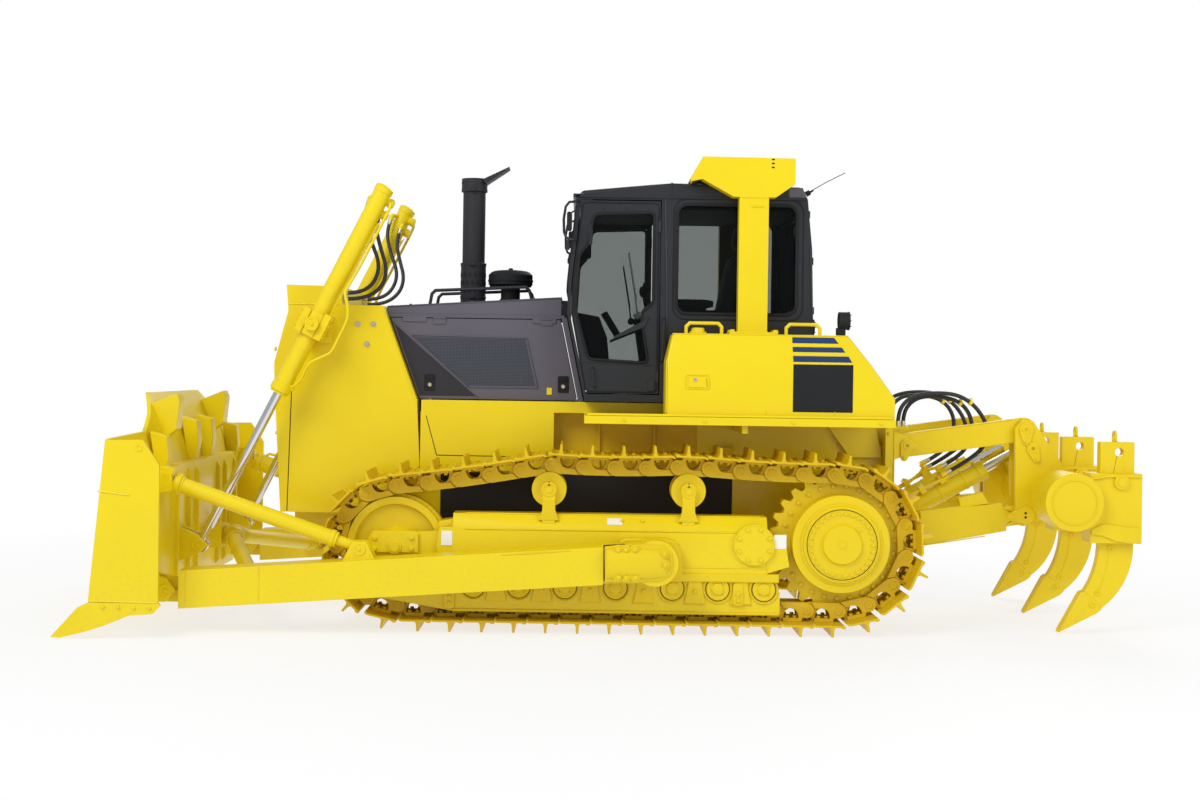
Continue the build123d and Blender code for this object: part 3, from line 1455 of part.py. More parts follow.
def main():
    os.makedirs("parts", exist_ok=True)
    two_nodes = {"track": track, "hood_door": hood_door, "cab_door": cab_door, "door_glass": door_glass}
    for node, make in two_nodes.items():
        left = make()
        save(node + "_left", left)
        save(node + "_right", mirror(left, about=Plane.XZ))
    mirrored = {
        "sprockets": sprocket, "idlers": idler, "rollers": rollers, "track_frames": track_frame, "tanks": tank,
        "push_arms": push_arm, "lift_barrels": lift_barrel, "lift_rods": lift_rod,
    }
    for node, make in mirrored.items():
        save(node, pair(make()))
    whole = {
        "blade": blade, "cutting_edge": cutting_edge, "centre_struts": centre_struts, "brace_left": brace,
        "tilt_cylinder_right": tilt_cylinder, "main_frame": main_frame, "engine_block": engine_block,
        "radiator_guard": radiator_guard, "radiator_core": radiator_core, "lift_hoses": lift_hoses,
        "hood_top": hood_top, "deck": deck, "cab_shell": cab_shell, "cab_roof": cab_roof, "cab_glass": cab_glass,
        "operator_seat": operator_seat, "rollover_frame": rollover_frame, "exhaust_stack": exhaust_stack,
        "air_cleaner": air_cleaner, "grab_rails": grab_rails, "work_lamps": work_lamps,
        "ripper_mount": ripper_mount, "ripper_upper_links": ripper_upper_links,
        "ripper_lower_arm": ripper_lower_arm, "ripper_barrels": ripper_barrels, "ripper_rods": ripper_rods,
        "ripper_beam": ripper_beam, "ripper_shanks": ripper_shanks, "ripper_hoses": ripper_hoses,
    }
    for node, make in whole.items():
        save(node, make())
    print("chain pitch", round(pin_line().length / shoe_count, 2))


main()
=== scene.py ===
# %% [markdown]
# # The looks of a crawler bulldozer
# The solids of the machine come ready-made from its CAD model, and this file dresses them: paint, rubber and
# glass first, then the detail that is too fine for solids, such as track links, bolts, seals and hoses.
# Everything is in metres. X points forwards to the blade, Y to the machine's left and Z up.

# %% Tools and the frame
import math

import bmesh
import bpy
from mathutils import Matrix, Vector


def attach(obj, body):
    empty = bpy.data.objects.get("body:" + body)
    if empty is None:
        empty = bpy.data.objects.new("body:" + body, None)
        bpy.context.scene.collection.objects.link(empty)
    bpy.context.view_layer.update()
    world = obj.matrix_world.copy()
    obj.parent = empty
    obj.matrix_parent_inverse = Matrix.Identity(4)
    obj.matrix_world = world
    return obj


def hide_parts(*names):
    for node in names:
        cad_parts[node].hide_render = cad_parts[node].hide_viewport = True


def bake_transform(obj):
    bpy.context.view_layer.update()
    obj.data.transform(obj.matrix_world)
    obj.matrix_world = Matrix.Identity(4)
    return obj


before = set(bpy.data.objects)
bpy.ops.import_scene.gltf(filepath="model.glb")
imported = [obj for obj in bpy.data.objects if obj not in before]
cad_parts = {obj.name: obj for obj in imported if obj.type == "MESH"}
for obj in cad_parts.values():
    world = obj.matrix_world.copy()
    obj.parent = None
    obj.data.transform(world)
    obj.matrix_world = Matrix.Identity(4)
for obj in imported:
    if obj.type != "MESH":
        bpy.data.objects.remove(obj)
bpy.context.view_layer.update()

# %% [markdown]
# ## The camera
# The photograph looks square on to the machine's left side from about 13 m, a little above axle height. The
# camera looks along -Y exactly, so that upright edges stay upright. The photograph is framed slightly off the
# lens's axis and tips by less than a degree, which a small shift and roll repeat.

# %% Camera
image_width, focal_pixels = 1200, 1707.0
axis_pixel = (580.0, 370.0)
roll = 0.0148

camera_data = bpy.data.cameras.new("camera")
camera_data.sensor_width = 36.0
camera_data.lens = focal_pixels / image_width * camera_data.sensor_width
camera_data.shift_x = (600 - axis_pixel[0]) / image_width
camera_data.shift_y = (axis_pixel[1] - 400) / image_width
camera = bpy.data.objects.new("camera", camera_data)
bpy.context.scene.collection.objects.link(camera)
right = Vector((-1, 0, roll)).normalized()
up = Vector((roll, 0, 1)).normalized()
back = right.cross(up)
camera.matrix_world = Matrix((
    (right.x, up.x, back.x, 0.253),
    (right.y, up.y, back.y, 12.8),
    (right.z, up.z, back.z, 1.781),
    (0, 0, 0, 1),
))
bpy.context.scene.camera = camera
print("lens", round(camera_data.lens, 1), "mm")

# %% [markdown]
# ## Shader maths as expressions
# A finish is a small sum: a base colour, plus a little dust where a mask says so. Node trees hide that sum, so
# this class lets a socket stand in a Python expression. Each operator adds one Math node, and `node` adds any
# other node with its settings first and its inputs after.

# %% Sockets in expressions
class Finish:
    """Builds one material's nodes."""

    def __init__(self, name):
        self.material = bpy.data.materials.new(name)
        self.material.use_nodes = True
        self.tree = self.material.node_tree
        self.shader = self.tree.nodes["Principled BSDF"]

    def node(self, kind, settings=None, inputs=None, output=0):
        """Adds a node: its settings are set first, then its inputs, by name or number."""
        made = self.tree.nodes.new("ShaderNode" + kind)
        for key, value in (settings or {}).items():
            setattr(made, key, value)
        for key, value in (inputs or {}).items():
            self.feed(made.inputs[key], value)
        return Term(self, made.outputs[output])

    def feed(self, socket, value):
        """Links a term to a socket, or writes a plain value there."""
        if isinstance(value, Term):
            self.tree.links.new(value.socket, socket)
        else:
            socket.default_value = value

    def set(self, **values):
        """Feeds the main shader's sockets; an underscore stands for a space."""
        for key, value in values.items():
            self.feed(self.shader.inputs[key.replace("_", " ")], value)
        return self.material


class Term:
    """A node's output that can stand in an expression."""

    def __init__(self, finish, socket):
        self.finish = finish
        self.socket = socket

    def math(self, operation, first, second):
        return self.finish.node("Math", {"operation": operation}, {0: first, 1: second})

    def __add__(self, other):
        return self.math("ADD", self, other)

    def __mul__(self, other):
        return self.math("MULTIPLY", self, other)

    def __radd__(self, other):
        return self.math("ADD", other, self)

    def __rsub__(self, other):
        return self.math("SUBTRACT", other, self)


def blend_colour(finish, share, first, second):
    """The first colour where share is 0, the second where it is 1."""
    return finish.node(
        "Mix", {"data_type": "RGBA"}, {"Factor": share, 6: as_colour(first), 7: as_colour(second)}, output=2
    )


def as_colour(value):
    """A term as it is, or an RGB triple with its alpha."""
    return value if isinstance(value, Term) else (*value, 1.0)


def noise(finish, scale, detail=3.0, roughness=0.5):
    """A cloudy pattern from 0 to 1, in the object's own metres."""
    place = finish.node("TexCoord", output=3)
    return finish.node(
        "TexNoise", {"noise_dimensions": "3D"},
        {"Vector": place, "Scale": scale, "Detail": detail, "Roughness": roughness},
    )


def bump(finish, height, strength, distance):
    """A normal that a height pattern tilts."""
    return finish.node("Bump", {}, {"Height": height, "Strength": strength, "Distance": distance})


def linear(code):
    """An sRGB colour such as 'EFD728' as the linear values that nodes work in."""
    shares = [int(code[i:i + 2], 16) / 255 for i in (0, 2, 4)]
    return tuple(c / 12.92 if c <= 0.04045 else ((c + 0.055) / 1.055) ** 2.4 for c in shares)


print("shader helpers ready")

# %% [markdown]
# ## Light and floor
# A product picture on white needs two things: even light that leaves the paint's colour as it is written, and a
# floor that holds a faint shadow under the tracks. The world is white to the camera and through glass, and
# softer as a lamp. Three wide lamps, the strongest high in front, give the bodywork its light and dark sides.

# %% World, lamps and floor
world = bpy.data.worlds.new("studio")
bpy.context.scene.world = world
world.use_nodes = True
nodes, links = world.node_tree.nodes, world.node_tree.links
nodes.clear()
ray = nodes.new("ShaderNodeLightPath")
seen = nodes.new("ShaderNodeMath")
seen.operation = "MAXIMUM"
links.new(ray.outputs["Is Camera Ray"], seen.inputs[0])
links.new(ray.outputs["Is Transmission Ray"], seen.inputs[1])
white, soft = nodes.new("ShaderNodeBackground"), nodes.new("ShaderNodeBackground")
white.inputs["Color"].default_value = (1, 1, 1, 1)
soft.inputs["Color"].default_value = (0.96, 0.98, 1.0, 1)
soft.inputs["Strength"].default_value = 0.5
either = nodes.new("ShaderNodeMixShader")
links.new(seen.outputs[0], either.inputs[0])
links.new(soft.outputs[0], either.inputs[1])
links.new(white.outputs[0], either.inputs[2])
surface = nodes.new("ShaderNodeOutputWorld")
links.new(either.outputs[0], surface.inputs[0])
bpy.context.scene.view_settings.view_transform = "Standard"


def lamp(name, place, target, size, power):
    """A square soft lamp that looks at a target."""
    data = bpy.data.lights.new(name, "AREA")
    data.shape = "SQUARE"
    data.size = size
    data.energy = power
    made = bpy.data.objects.new(name, data)
    bpy.context.scene.collection.objects.link(made)
    made.location = place
    made.rotation_euler = (Vector(target) - Vector(place)).to_track_quat("-Z", "Y").to_euler()
    return made


lamp("key_lamp", (7, 10, 11), (0, 0, 1.4), 7, 1150)
lamp("fill_lamp", (-9, 9, 6), (0, 0, 1.2), 7, 420)
lamp("rear_lamp", (-4, -11, 9), (0, 0, 1.6), 7, 750)

floor_mesh = bpy.data.meshes.new("studio_floor")
span = 60.0
floor_mesh.from_pydata([(-span, -span, 0), (span, -span, 0), (span, span, 0), (-span, span, 0)], [], [(0, 1, 2, 3)])
studio_floor = bpy.data.objects.new("studio_floor", floor_mesh)
bpy.context.scene.collection.objects.link(studio_floor)

# %% [markdown]
# The floor is white with a trace of shadow. A plain white floor would turn grey away from the lamps and draw a
# horizon line, so its material mixes a glowing white with the plain surface: enough glow to meet the
# background, enough surface to take the machine's shadow.

# %% Floor finish
floor_finish = Finish("floor_white")
floor_finish.set(Base_Color=(0.9, 0.9, 0.9, 1), Roughness=0.7)
tree = floor_finish.tree
glow = tree.nodes.new("ShaderNodeEmission")
glow.inputs["Strength"].default_value = 1.0
share = tree.nodes.new("ShaderNodeMixShader")
place = floor_finish.node("TexCoord", output=3)
far = floor_finish.node("VectorMath", {"operation": "LENGTH"}, {0: place}, output=1)
glowing = floor_finish.node(
    "MapRange", {}, {"Value": far, "From Min": 3.0, "From Max": 8.0, "To Min": 0.72, "To Max": 1.0})
floor_finish.feed(share.inputs[0], glowing)
tree.links.new(floor_finish.shader.outputs[0], share.inputs[1])
tree.links.new(glow.outputs[0], share.inputs[2])
tree.links.new(share.outputs[0], tree.nodes["Material Output"].inputs[0])
floor_mesh.materials.append(floor_finish.material)
print("floor ready")

# %% [markdown]
# ## Building shapes
# Plates, rods, turned pieces and bolts make up nearly all of a machine's small parts. `Piece` gathers them in one
# bmesh, so that a whole group of bolts is one object. Outlines are drawn in side view, as on a workshop drawing,
# and given thickness across the machine.

# %% A workbench for meshes
least_radius = 1e-5
both_sides = (("left", 1), ("right", -1))


class Piece:
    """One mesh, in metres, that shapes are added to."""

    def __init__(self):
        self.mesh = bmesh.new()

    def ring(self, points):
        """New vertices at the points."""
        return [self.mesh.verts.new(p) for p in points]

    def circle(self, centre, across, other, radius, sides):
        """New vertices round a circle that two unit vectors span."""
        return self.ring([
            centre + radius * (across * math.cos(a) + other * math.sin(a))
            for a in (2 * math.pi * n / sides for n in range(sides))
        ])

    def skin(self, rings, closed=False, caps=True):
        """Walls between rings of equal length, with end caps."""
        pairs = list(zip(rings, rings[1:])) + ([(rings[-1], rings[0])] if closed else [])
        for first, second in pairs:
            count = len(first)
            for number in range(count):
                after = (number + 1) % count
                self.mesh.faces.new((first[number], first[after], second[after], second[number]))
        if caps and not closed:
            self.mesh.faces.new(rings[0][::-1])
            self.mesh.faces.new(rings[-1])

    def plate(self, outline, low, high, inset=0.0):
        """A side-view outline of (X, Z) points between two Y values, with an eased edge."""
        levels = [(outline, low), (outline, high)]
        if inset:
            small = shrink(outline, inset)
            levels = [(small, low), (outline, low + inset), (outline, high - inset), (small, high)]
        self.skin([self.ring([(x, y, z) for x, z in edge]) for edge, y in levels])

    def slab(self, corners, push):
        """A flat outline anywhere in space, given thickness by a vector."""
        push = Vector(push)
        self.skin([self.ring(corners), self.ring([Vector(c) + push for c in corners])])

    def turned(self, centre, axis, profile, sides=24, hollow=False):
        """A turned piece: profile lists (distance along the axis, radius). A hollow one is a closed hoop."""
        axis = Vector(axis).normalized()
        across = axis.orthogonal().normalized()
        other = axis.cross(across)
        rings = [self.circle(Vector(centre) + axis * along, across, other, max(radius, least_radius), sides)
                 for along, radius in profile]
        self.skin(rings, closed=hollow)

    def bolt(self, place, axis, size, sides=6):
        """A bolt's head on its washer; size is the washer's radius."""
        self.turned(place, axis, [(-0.001, size), (size * 0.18, size)], 16)
        self.turned(place, axis, [
            (0, size * 0.82), (size * 0.7, size * 0.82), (size * 0.82, size * 0.66),
        ], sides)

    def block(self, low, high, ease=0.0):
        """A block between two corners."""
        (x0, y0, z0), (x1, y1, z1) = low, high
        self.plate([(x0, z0), (x1, z0), (x1, z1), (x0, z1)], y0, y1, ease)

    def tube(self, points, radius, sides=12, closed=False):
        """A round tube that follows a line of points."""
        points = [Vector(p) for p in points]
        count = len(points)
        normal = None
        rings = []
        for number, point in enumerate(points):
            before = points[number - 1] if number or closed else point
            after = points[(number + 1) % count] if number < count - 1 or closed else point
            direction = (after - before).normalized()
            normal = direction.orthogonal() if normal is None else normal - direction * normal.dot(direction)
            normal.normalize()
            rings.append(self.circle(point, normal, direction.cross(normal), radius, sides))
        self.skin(rings, closed=closed, caps=not closed)

    def mirror(self):
        """Adds the mirror image across the machine's middle."""
        copy = bmesh.ops.duplicate(self.mesh, geom=self.mesh.verts[:] + self.mesh.edges[:] + self.mesh.faces[:])
        made = [g for g in copy["geom"] if isinstance(g, bmesh.types.BMVert)]
        for vertex in made:
            vertex.co.y = -vertex.co.y
        faces = [g for g in copy["geom"] if isinstance(g, bmesh.types.BMFace)]
        bmesh.ops.reverse_faces(self.mesh, faces=faces)

    def flip(self, sign):
        """Moves the shapes across the machine's middle where sign is -1."""
        if sign < 0:
            bmesh.ops.scale(self.mesh, vec=(1, -1, 1), verts=self.mesh.verts[:])

    def place(self, name, body, slot, finish, both=False, smooth=35.0):
        """Turns the bmesh into an object that rides on a body."""
        if both:
            self.mirror()
        bmesh.ops.recalc_face_normals(self.mesh, faces=self.mesh.faces[:])
        data = bpy.data.meshes.new(name)
        self.mesh.to_mesh(data)
        self.mesh.free()
        data.polygons.foreach_set("use_smooth", [True] * len(data.polygons))
        data.set_sharp_from_angle(angle=math.radians(smooth))
        made = bpy.data.objects.new(name, data)
        bpy.context.scene.collection.objects.link(made)
        data.materials.append(finish)
        if body:
            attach(made, body)
        return made


def shrink(outline, inset):
    """An outline moved inwards, corner by corner."""
    area = sum(a[0] * b[1] - b[0] * a[1] for a, b in zip(outline, outline[1:] + outline[:1]))
    sign = 1 if area > 0 else -1
    moved = []
    for before, point, after in zip(outline[-1:] + outline[:-1], outline, outline[1:] + outline[:1]):
        one = (Vector(point) - Vector(before)).normalized()
        two = (Vector(after) - Vector(point)).normalized()
        lean = Vector((-one.y - two.y, one.x + two.x)) * sign
        reach = inset / max(0.35, lean.length_squared / 2)
        moved.append((point[0] + lean.x * reach, point[1] + lean.y * reach))
    return moved


def arc(centre, radius, start, end, count):
    """Points on a circle in side view, from one angle to another, in degrees."""
    angles = [math.radians(start + (end - start) * n / count) for n in range(count + 1)]
    return [(centre[0] + radius * math.cos(a), centre[1] + radius * math.sin(a)) for a in angles]


def rounded(low_x, low_z, high_x, high_z, radius, count=4):
    """A rectangle with round corners, in side view."""
    x0, x1, z0, z1 = low_x + radius, high_x - radius, low_z + radius, high_z - radius
    return (arc((x0, z0), radius, 180, 270, count) + arc((x1, z0), radius, 270, 360, count)
            + arc((x1, z1), radius, 0, 90, count) + arc((x0, z1), radius, 90, 180, count))


print("workbench ready")

# %% [markdown]
# ## Hydraulic hoses
# Each hose is one smooth curve through the air between two fittings. A NURBS spline with the route's points as its
# control points bends like a real hose, which never shows a corner. The tube is then swept along the
# spline's own line.

# %% Hose routes
lift_routes = [
    [(1.768, 0.7, 2.945), (1.8, 0.685, 2.85), (1.76, 0.64, 2.69), (1.69, 0.6, 2.51), (1.74, 0.58, 2.37),
     (1.85, 0.565, 2.308), (1.96, 0.565, 2.308)],
    [(1.688, 0.7, 2.872), (1.72, 0.685, 2.78), (1.69, 0.64, 2.64), (1.64, 0.6, 2.48), (1.68, 0.57, 2.35),
     (1.81, 0.55, 2.266), (1.96, 0.55, 2.266)],
]
base, rod_pin = Vector((-2.077, 0.74)), Vector((-3.026, 1.264))
out = (rod_pin - base).normalized()
above = Vector((out.y, -out.x))
ripper_routes = []
for y, height, bends in (
    (0.3, 0.17, [(-2.118, 1.405), (-2.118, 1.495), (-2.166, 1.577), (-2.248, 1.625), (-2.4, 1.628),
                 (-2.54, 1.588), (-2.622, 1.475), (-2.622, 1.32)]),
    (0.345, 0.12, [(-2.072, 1.405), (-2.072, 1.5), (-2.122, 1.587), (-2.209, 1.637), (-2.36, 1.655),
                   (-2.52, 1.64), (-2.655, 1.545), (-2.738, 1.39), (-2.708, 1.262)]),
):
    port = base + out * 0.47 + above * height
    bends = bends + [tuple(port + out * 0.148), tuple(port)]
    ripper_routes.append([(x, y, z) for x, z in bends])
print("hose routes:", len(lift_routes), "to the lift cylinders,", len(ripper_routes), "to the ripper, a side")

# %% Hoses from their splines
def spline_points(route):
    """Points read from a NURBS spline through a route."""
    data = bpy.data.curves.new("route", "CURVE")
    data.dimensions = "3D"
    data.resolution_u = 16
    spline = data.splines.new("NURBS")
    spline.points.add(len(route) - 1)
    for point, place in zip(spline.points, route):
        point.co = (*place, 1)
    spline.order_u = 3
    spline.use_endpoint_u = True
    holder = bpy.data.objects.new("route", data)
    line = bpy.data.meshes.new_from_object(holder)
    found = [v.co.copy() for v in line.vertices]
    bpy.data.objects.remove(holder)
    return found


rubber = Finish("hose_rubber")
grain = noise(rubber, 60)
rubber.set(Base_Color=blend_colour(rubber, grain, linear("1B1C1E"), linear("2B2C2E")),
           Roughness=0.42 + grain * 0.15, Normal=bump(rubber, noise(rubber, 400), 0.25, 0.001))

hose_count = 0
for family, routes, radius, body, node, free, held in (
    ("lift_hose", lift_routes, 0.014, "lift_barrels", "lift_hoses", -1, 0),
    ("ripper_hose", ripper_routes, 0.015, "ripper_barrels", "ripper_hoses", 0, -1),
):
    for number, route in enumerate(routes):
        for side, sign in both_sides:
            points = [Vector((p[0], p[1] * sign, p[2])) for p in spline_points(route)]
            hose = Piece()
            hose.tube(points, radius, 16)
            piece = hose.place(f"{family}_{side}_{number + 1}", None, "rubber", rubber.material)
            length = sum((b - a).length for a, b in zip(points, points[1:]))
            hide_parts(node)
            2 * radius
            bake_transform(piece)
            hose_count += 1
print("hoses:", hose_count)

# %% [markdown]
# ## Paint
# Nearly everything is one yellow enamel, sprayed on steel plate and on rough castings alike. Enamel shows three
# things close to: a shallow ripple like the skin of an orange, slight cloudiness where coats overlap, and a film
# of dust that settles on low and level surfaces. All three are small on a machine this new.

# %% Yellow enamel
def enamel(name, colour, deep, ripple, roughness, coat=0.35):
    """Sprayed enamel: a colour with a deeper shade in its clouds, rippled and faintly dusty."""
    finish = Finish(name)
    clouds = noise(finish, 1.7, 4.0, 0.55)
    patch = finish.node("MapRange", {}, {"Value": clouds, "From Min": 0.42, "From Max": 0.66})
    place = finish.node("TexCoord", output=3)
    height = finish.node("SeparateXYZ", {}, {0: place}, output=2)
    low = finish.node("MapRange", {}, {"Value": height, "From Min": 0.9, "From Max": 0.0, "To Max": 0.3})
    specks = finish.node("MapRange", {}, {"Value": noise(finish, 38, 5.0, 0.7), "From Min": 0.5, "From Max": 0.72})
    dust = low * specks
    paint = blend_colour(finish, patch * 0.3, colour, deep)
    orange_peel = noise(finish, 260, 2.0)
    finish.set(
        Base_Color=blend_colour(finish, dust, paint, linear("B9A46A")),
        Roughness=roughness + dust * 0.5 + patch * 0.05,
        Coat_Weight=coat - dust * coat,
        Normal=bump(finish, orange_peel + noise(finish, 22, 3.0) * 2.0, ripple, 0.0012),
    )
    finish.shader.inputs["Coat Roughness"].default_value = 0.12
    finish.shader.inputs["Specular IOR Level"].default_value = 0.3
    return finish.material


yellow_enamel = enamel("yellow_enamel", linear("E9D006"), linear("E2C404"), 0.16, 0.38, 0.2)
cast_enamel = enamel("cast_enamel", linear("E6CA06"), linear("D9B804"), 0.55, 0.44, 0.12)
print("yellow:", [round(v, 3) for v in linear("E9D006")])

# %% [markdown]
# The track's links and shoes wear the same enamel over rough forgings, mixed darker and browner. That is painted shade
# for parts that sit in shadow, and it keeps the chain readable against the frame. Clouds of a still browner tone vary
# it at random.

# %% Forged, hood and cab paint
# Painted shade: a darker, browner yellow for the chain and for the plates under the deck, which sit in shadow.
shaded_chain_enamel = enamel("shaded_chain_enamel", linear("DCB908"), linear("B98F06"), 0.7, 0.46, 0.08)


def moulded(name, colour, light, scale, ripple, roughness, coat=0.0):
    """A dark painted or moulded skin with a fine grain."""
    finish = Finish(name)
    grain = noise(finish, scale, 4.0, 0.6)
    clouds = noise(finish, 1.2, 3.0)
    shade = finish.node("MapRange", {}, {"Value": clouds, "From Min": 0.35, "From Max": 0.7})
    finish.set(
        Base_Color=blend_colour(finish, shade * 0.6, colour, light),
        Roughness=roughness + grain * 0.12,
        Normal=bump(finish, grain, ripple, 0.0008),
    )
    finish.shader.inputs["Coat Weight"].default_value = coat
    finish.shader.inputs["Coat Roughness"].default_value = 0.15
    finish.shader.inputs["Specular IOR Level"].default_value = 0.25
    return finish.material


hood_grey = moulded("hood_grey", linear("5B5862"), linear("645F6A"), 300, 0.2, 0.46)
panel_dark = moulded("panel_dark", linear("2D2C32"), linear("35343B"), 500, 0.5, 0.55)
cab_black = moulded("cab_black", linear("222429"), linear("2A2C32"), 320, 0.2, 0.32, 0.3)
soft_black = moulded("soft_black", linear("1B1C1F"), linear("232427"), 240, 0.6, 0.62)
stack_black = moulded("stack_black", linear("27262B"), linear("322F35"), 90, 0.5, 0.5)
stripe_blue = moulded("stripe_blue", linear("1F3560"), linear("263D6A"), 300, 0.1, 0.36, 0.3)
label_white = moulded("label_white", linear("F1F1EC"), linear("E4E4DE"), 260, 0.1, 0.45)
engine_paint = moulded("engine_paint", linear("3A3B3E"), linear("4A4B4E"), 60, 0.8, 0.6)
print("dark finishes:", 8)

# %% [markdown]
# Cylinder rods are hard chrome, ground along their length, so their highlight is long and streaked. The
# fittings are zinc-plated steel, duller and slightly yellow.

# %% Bare metal
def metal(name, colour, roughness, scratch, stretch=(1, 1, 1)):
    """Bare metal with fine scratches."""
    finish = Finish(name)
    place = finish.node("TexCoord", output=3)
    spread = finish.node("VectorMath", {"operation": "MULTIPLY"}, {0: place, 1: stretch})
    lines = finish.node("TexNoise", {}, {"Vector": spread, "Scale": 120.0, "Detail": 3.0})
    finish.set(
        Base_Color=blend_colour(finish, lines * 0.35, colour, tuple(c * 0.7 for c in colour)),
        Roughness=roughness + lines * scratch,
        Normal=bump(finish, lines, 0.1, 0.0005),
    )
    finish.shader.inputs["Metallic"].default_value = 1.0
    return finish.material


chrome = metal("hard_chrome", (0.78, 0.79, 0.81), 0.08, 0.1, (1.0, 4.0, 1.0))
plated = metal("plated_steel", (0.62, 0.58, 0.46), 0.28, 0.2)
worn_steel = metal("worn_steel", (0.42, 0.41, 0.4), 0.34, 0.25)
mirror_glass = metal("mirror_glass", (0.8, 0.82, 0.84), 0.03, 0.02)
print("metals:", 4)

# %% [markdown]
# The cab's panes are tinted safety glass. Light has to pass, because the far window shows through the near one,
# so the pane is mostly clear with a thin grey-green tint and a gloss that grows at shallow angles.

# %% Glass, cloth and lamps
glass = Finish("tinted_glass")
haze = noise(glass, 3.0, 3.0)
tint = glass.node("BsdfTransparent", {}, {"Color": (0.73, 0.75, 0.74, 1.0)})
glass.set(Base_Color=blend_colour(glass, haze, linear("14181A"), linear("1C2124")), Roughness=0.03 + haze * 0.05)
rim = glass.node("Fresnel", {}, {"IOR": 1.5})
over = glass.tree.nodes.new("ShaderNodeMixShader")
glass.feed(over.inputs[0], rim + 0.1)
glass.tree.links.new(tint.socket, over.inputs[1])
glass.tree.links.new(glass.shader.outputs[0], over.inputs[2])
glass.tree.links.new(over.outputs[0], glass.tree.nodes["Material Output"].inputs[0])

cloth = Finish("seat_cloth")
weave = cloth.node("TexWave", {}, {
    "Vector": cloth.node("TexCoord", output=3), "Scale": 220.0, "Distortion": 1.5, "Detail": 2.0,
})
cloth.set(
    Base_Color=blend_colour(cloth, weave, linear("232529"), linear("383B41")),
    Roughness=0.85 + weave * 0.1,
    Normal=bump(cloth, weave + noise(cloth, 90), 0.5, 0.0015),
)
cloth.shader.inputs["Sheen Weight"].default_value = 0.3

lens = Finish("lamp_lens")
flutes = lens.node("TexWave", {}, {"Vector": lens.node("TexCoord", output=3), "Scale": 55.0})
lens.set(
    Base_Color=blend_colour(lens, flutes, linear("C9CDD2"), linear("EDEFF1")),
    Roughness=0.1 + flutes * 0.1, Normal=bump(lens, flutes, 0.6, 0.003),
)
lens.shader.inputs["Coat Weight"].default_value = 1.0
print("glass, cloth and lens ready")

# %% [markdown]
# ## Dressing the solids
# The CAD solids have perfectly sharp edges, which no welded or cast part has. A light edge shows as a thin bright
# line that tells the eye where plates end. A bevel on the sharp edges only, after welding the facets' shared
# points, gives that line, and weighted normals keep the flats flat.

# %% Materials and eased edges on the CAD nodes
wearing = {
    "blade": (yellow_enamel, 0.006), "cutting_edge": (yellow_enamel, 0.004), "push_arms": (yellow_enamel, 0.008),
    "centre_struts": (yellow_enamel, 0.003), "brace_left": (yellow_enamel, 0.003),
    "tilt_cylinder_right": (yellow_enamel, 0.003), "main_frame": (yellow_enamel, 0.006),
    "engine_block": (engine_paint, 0.02), "radiator_guard": (yellow_enamel, 0.009),
    "radiator_core": (soft_black, 0.003), "hood_top": (hood_grey, 0.012), "hood_door_left": (hood_grey, 0.006),
    "hood_door_right": (hood_grey, 0.006), "deck": (yellow_enamel, 0.006), "tanks": (yellow_enamel, 0.014),
    "cab_shell": (cab_black, 0.01), "cab_roof": (cab_black, 0.02), "cab_glass": (glass.material, 0),
    "cab_door_left": (cab_black, 0.006), "cab_door_right": (cab_black, 0.006),
    "door_glass_left": (glass.material, 0), "door_glass_right": (glass.material, 0),
    "operator_seat": (soft_black, 0.02), "rollover_frame": (yellow_enamel, 0.012),
    "exhaust_stack": (stack_black, 0.003), "air_cleaner": (soft_black, 0.004), "grab_rails": (cab_black, 0),
    "work_lamps": (soft_black, 0.004), "ripper_mount": (yellow_enamel, 0.006), "sprockets": (cast_enamel, 0.005),
    "idlers": (cast_enamel, 0.005), "rollers": (cast_enamel, 0.006), "track_frames": (yellow_enamel, 0.008),
    "lift_barrels": (yellow_enamel, 0.004), "lift_rods": (chrome, 0.001),
    "ripper_upper_links": (cast_enamel, 0.008), "ripper_lower_arm": (cast_enamel, 0.008),
    "ripper_barrels": (yellow_enamel, 0.004), "ripper_rods": (chrome, 0.001),
    "ripper_beam": (cast_enamel, 0.01), "ripper_shanks": (cast_enamel, 0.003),
}
for node, (finish, edge) in wearing.items():
    solid = bpy.data.objects[node]
    solid.data.materials.clear()
    solid.data.materials.append(finish)
    if edge:
        weld = solid.modifiers.new("weld", "WELD")
        weld.merge_threshold = 0.0002
        ease = solid.modifiers.new("ease", "BEVEL")
        ease.width = edge
        ease.segments = 2
        ease.limit_method = "ANGLE"
        ease.angle_limit = math.radians(40)
        ease.use_clamp_overlap = True
        ease.harden_normals = False
        level = solid.modifiers.new("level", "WEIGHTED_NORMAL")
        level.keep_sharp = False

rails = bpy.data.objects["grab_rails"].data
rails.materials.append(yellow_enamel)
for face in rails.polygons:
    face.material_index = 0 if face.center.x > 0 else 1
print("dressed nodes:", len(wearing))

# %% [markdown]
# ## Tracks
# A crawler's track is a chain of 41 equal links a side, and the eye reads its rhythm before anything else. Each
# link is a pair of forgings that overlap the next pair at a pin, with a half-moon window between the pins through
# which the shoe's bolts are tightened. So one link is drawn once, in its own coordinates along and out from its
# pin, and repeated round the same pin line as the CAD model's.

# %% The pin line
pitch_count = 41
drive, front_wheel = Vector((-1.542, 0.621)), Vector((1.498, 0.561))
drive_radius, front_radius, pin_height = 0.468, 0.408, 0.153
carriers = [Vector((0.452, 1.129)), Vector((-0.502, 1.129))]
track_middle = 1.0


def touching(centre, radius, point, side):
    """Where a line from a point touches a circle."""
    offset = point - centre
    angle = math.atan2(offset.y, offset.x) + side * math.acos(radius / offset.length)
    return centre + radius * Vector((math.cos(angle), math.sin(angle)))


def hanging(start, end, drop, count=40):
    """A shallow arc between two points."""
    return [start.lerp(end, n / count) - Vector((0, 4 * drop * (n / count) * (1 - n / count))) for n in range(count)]


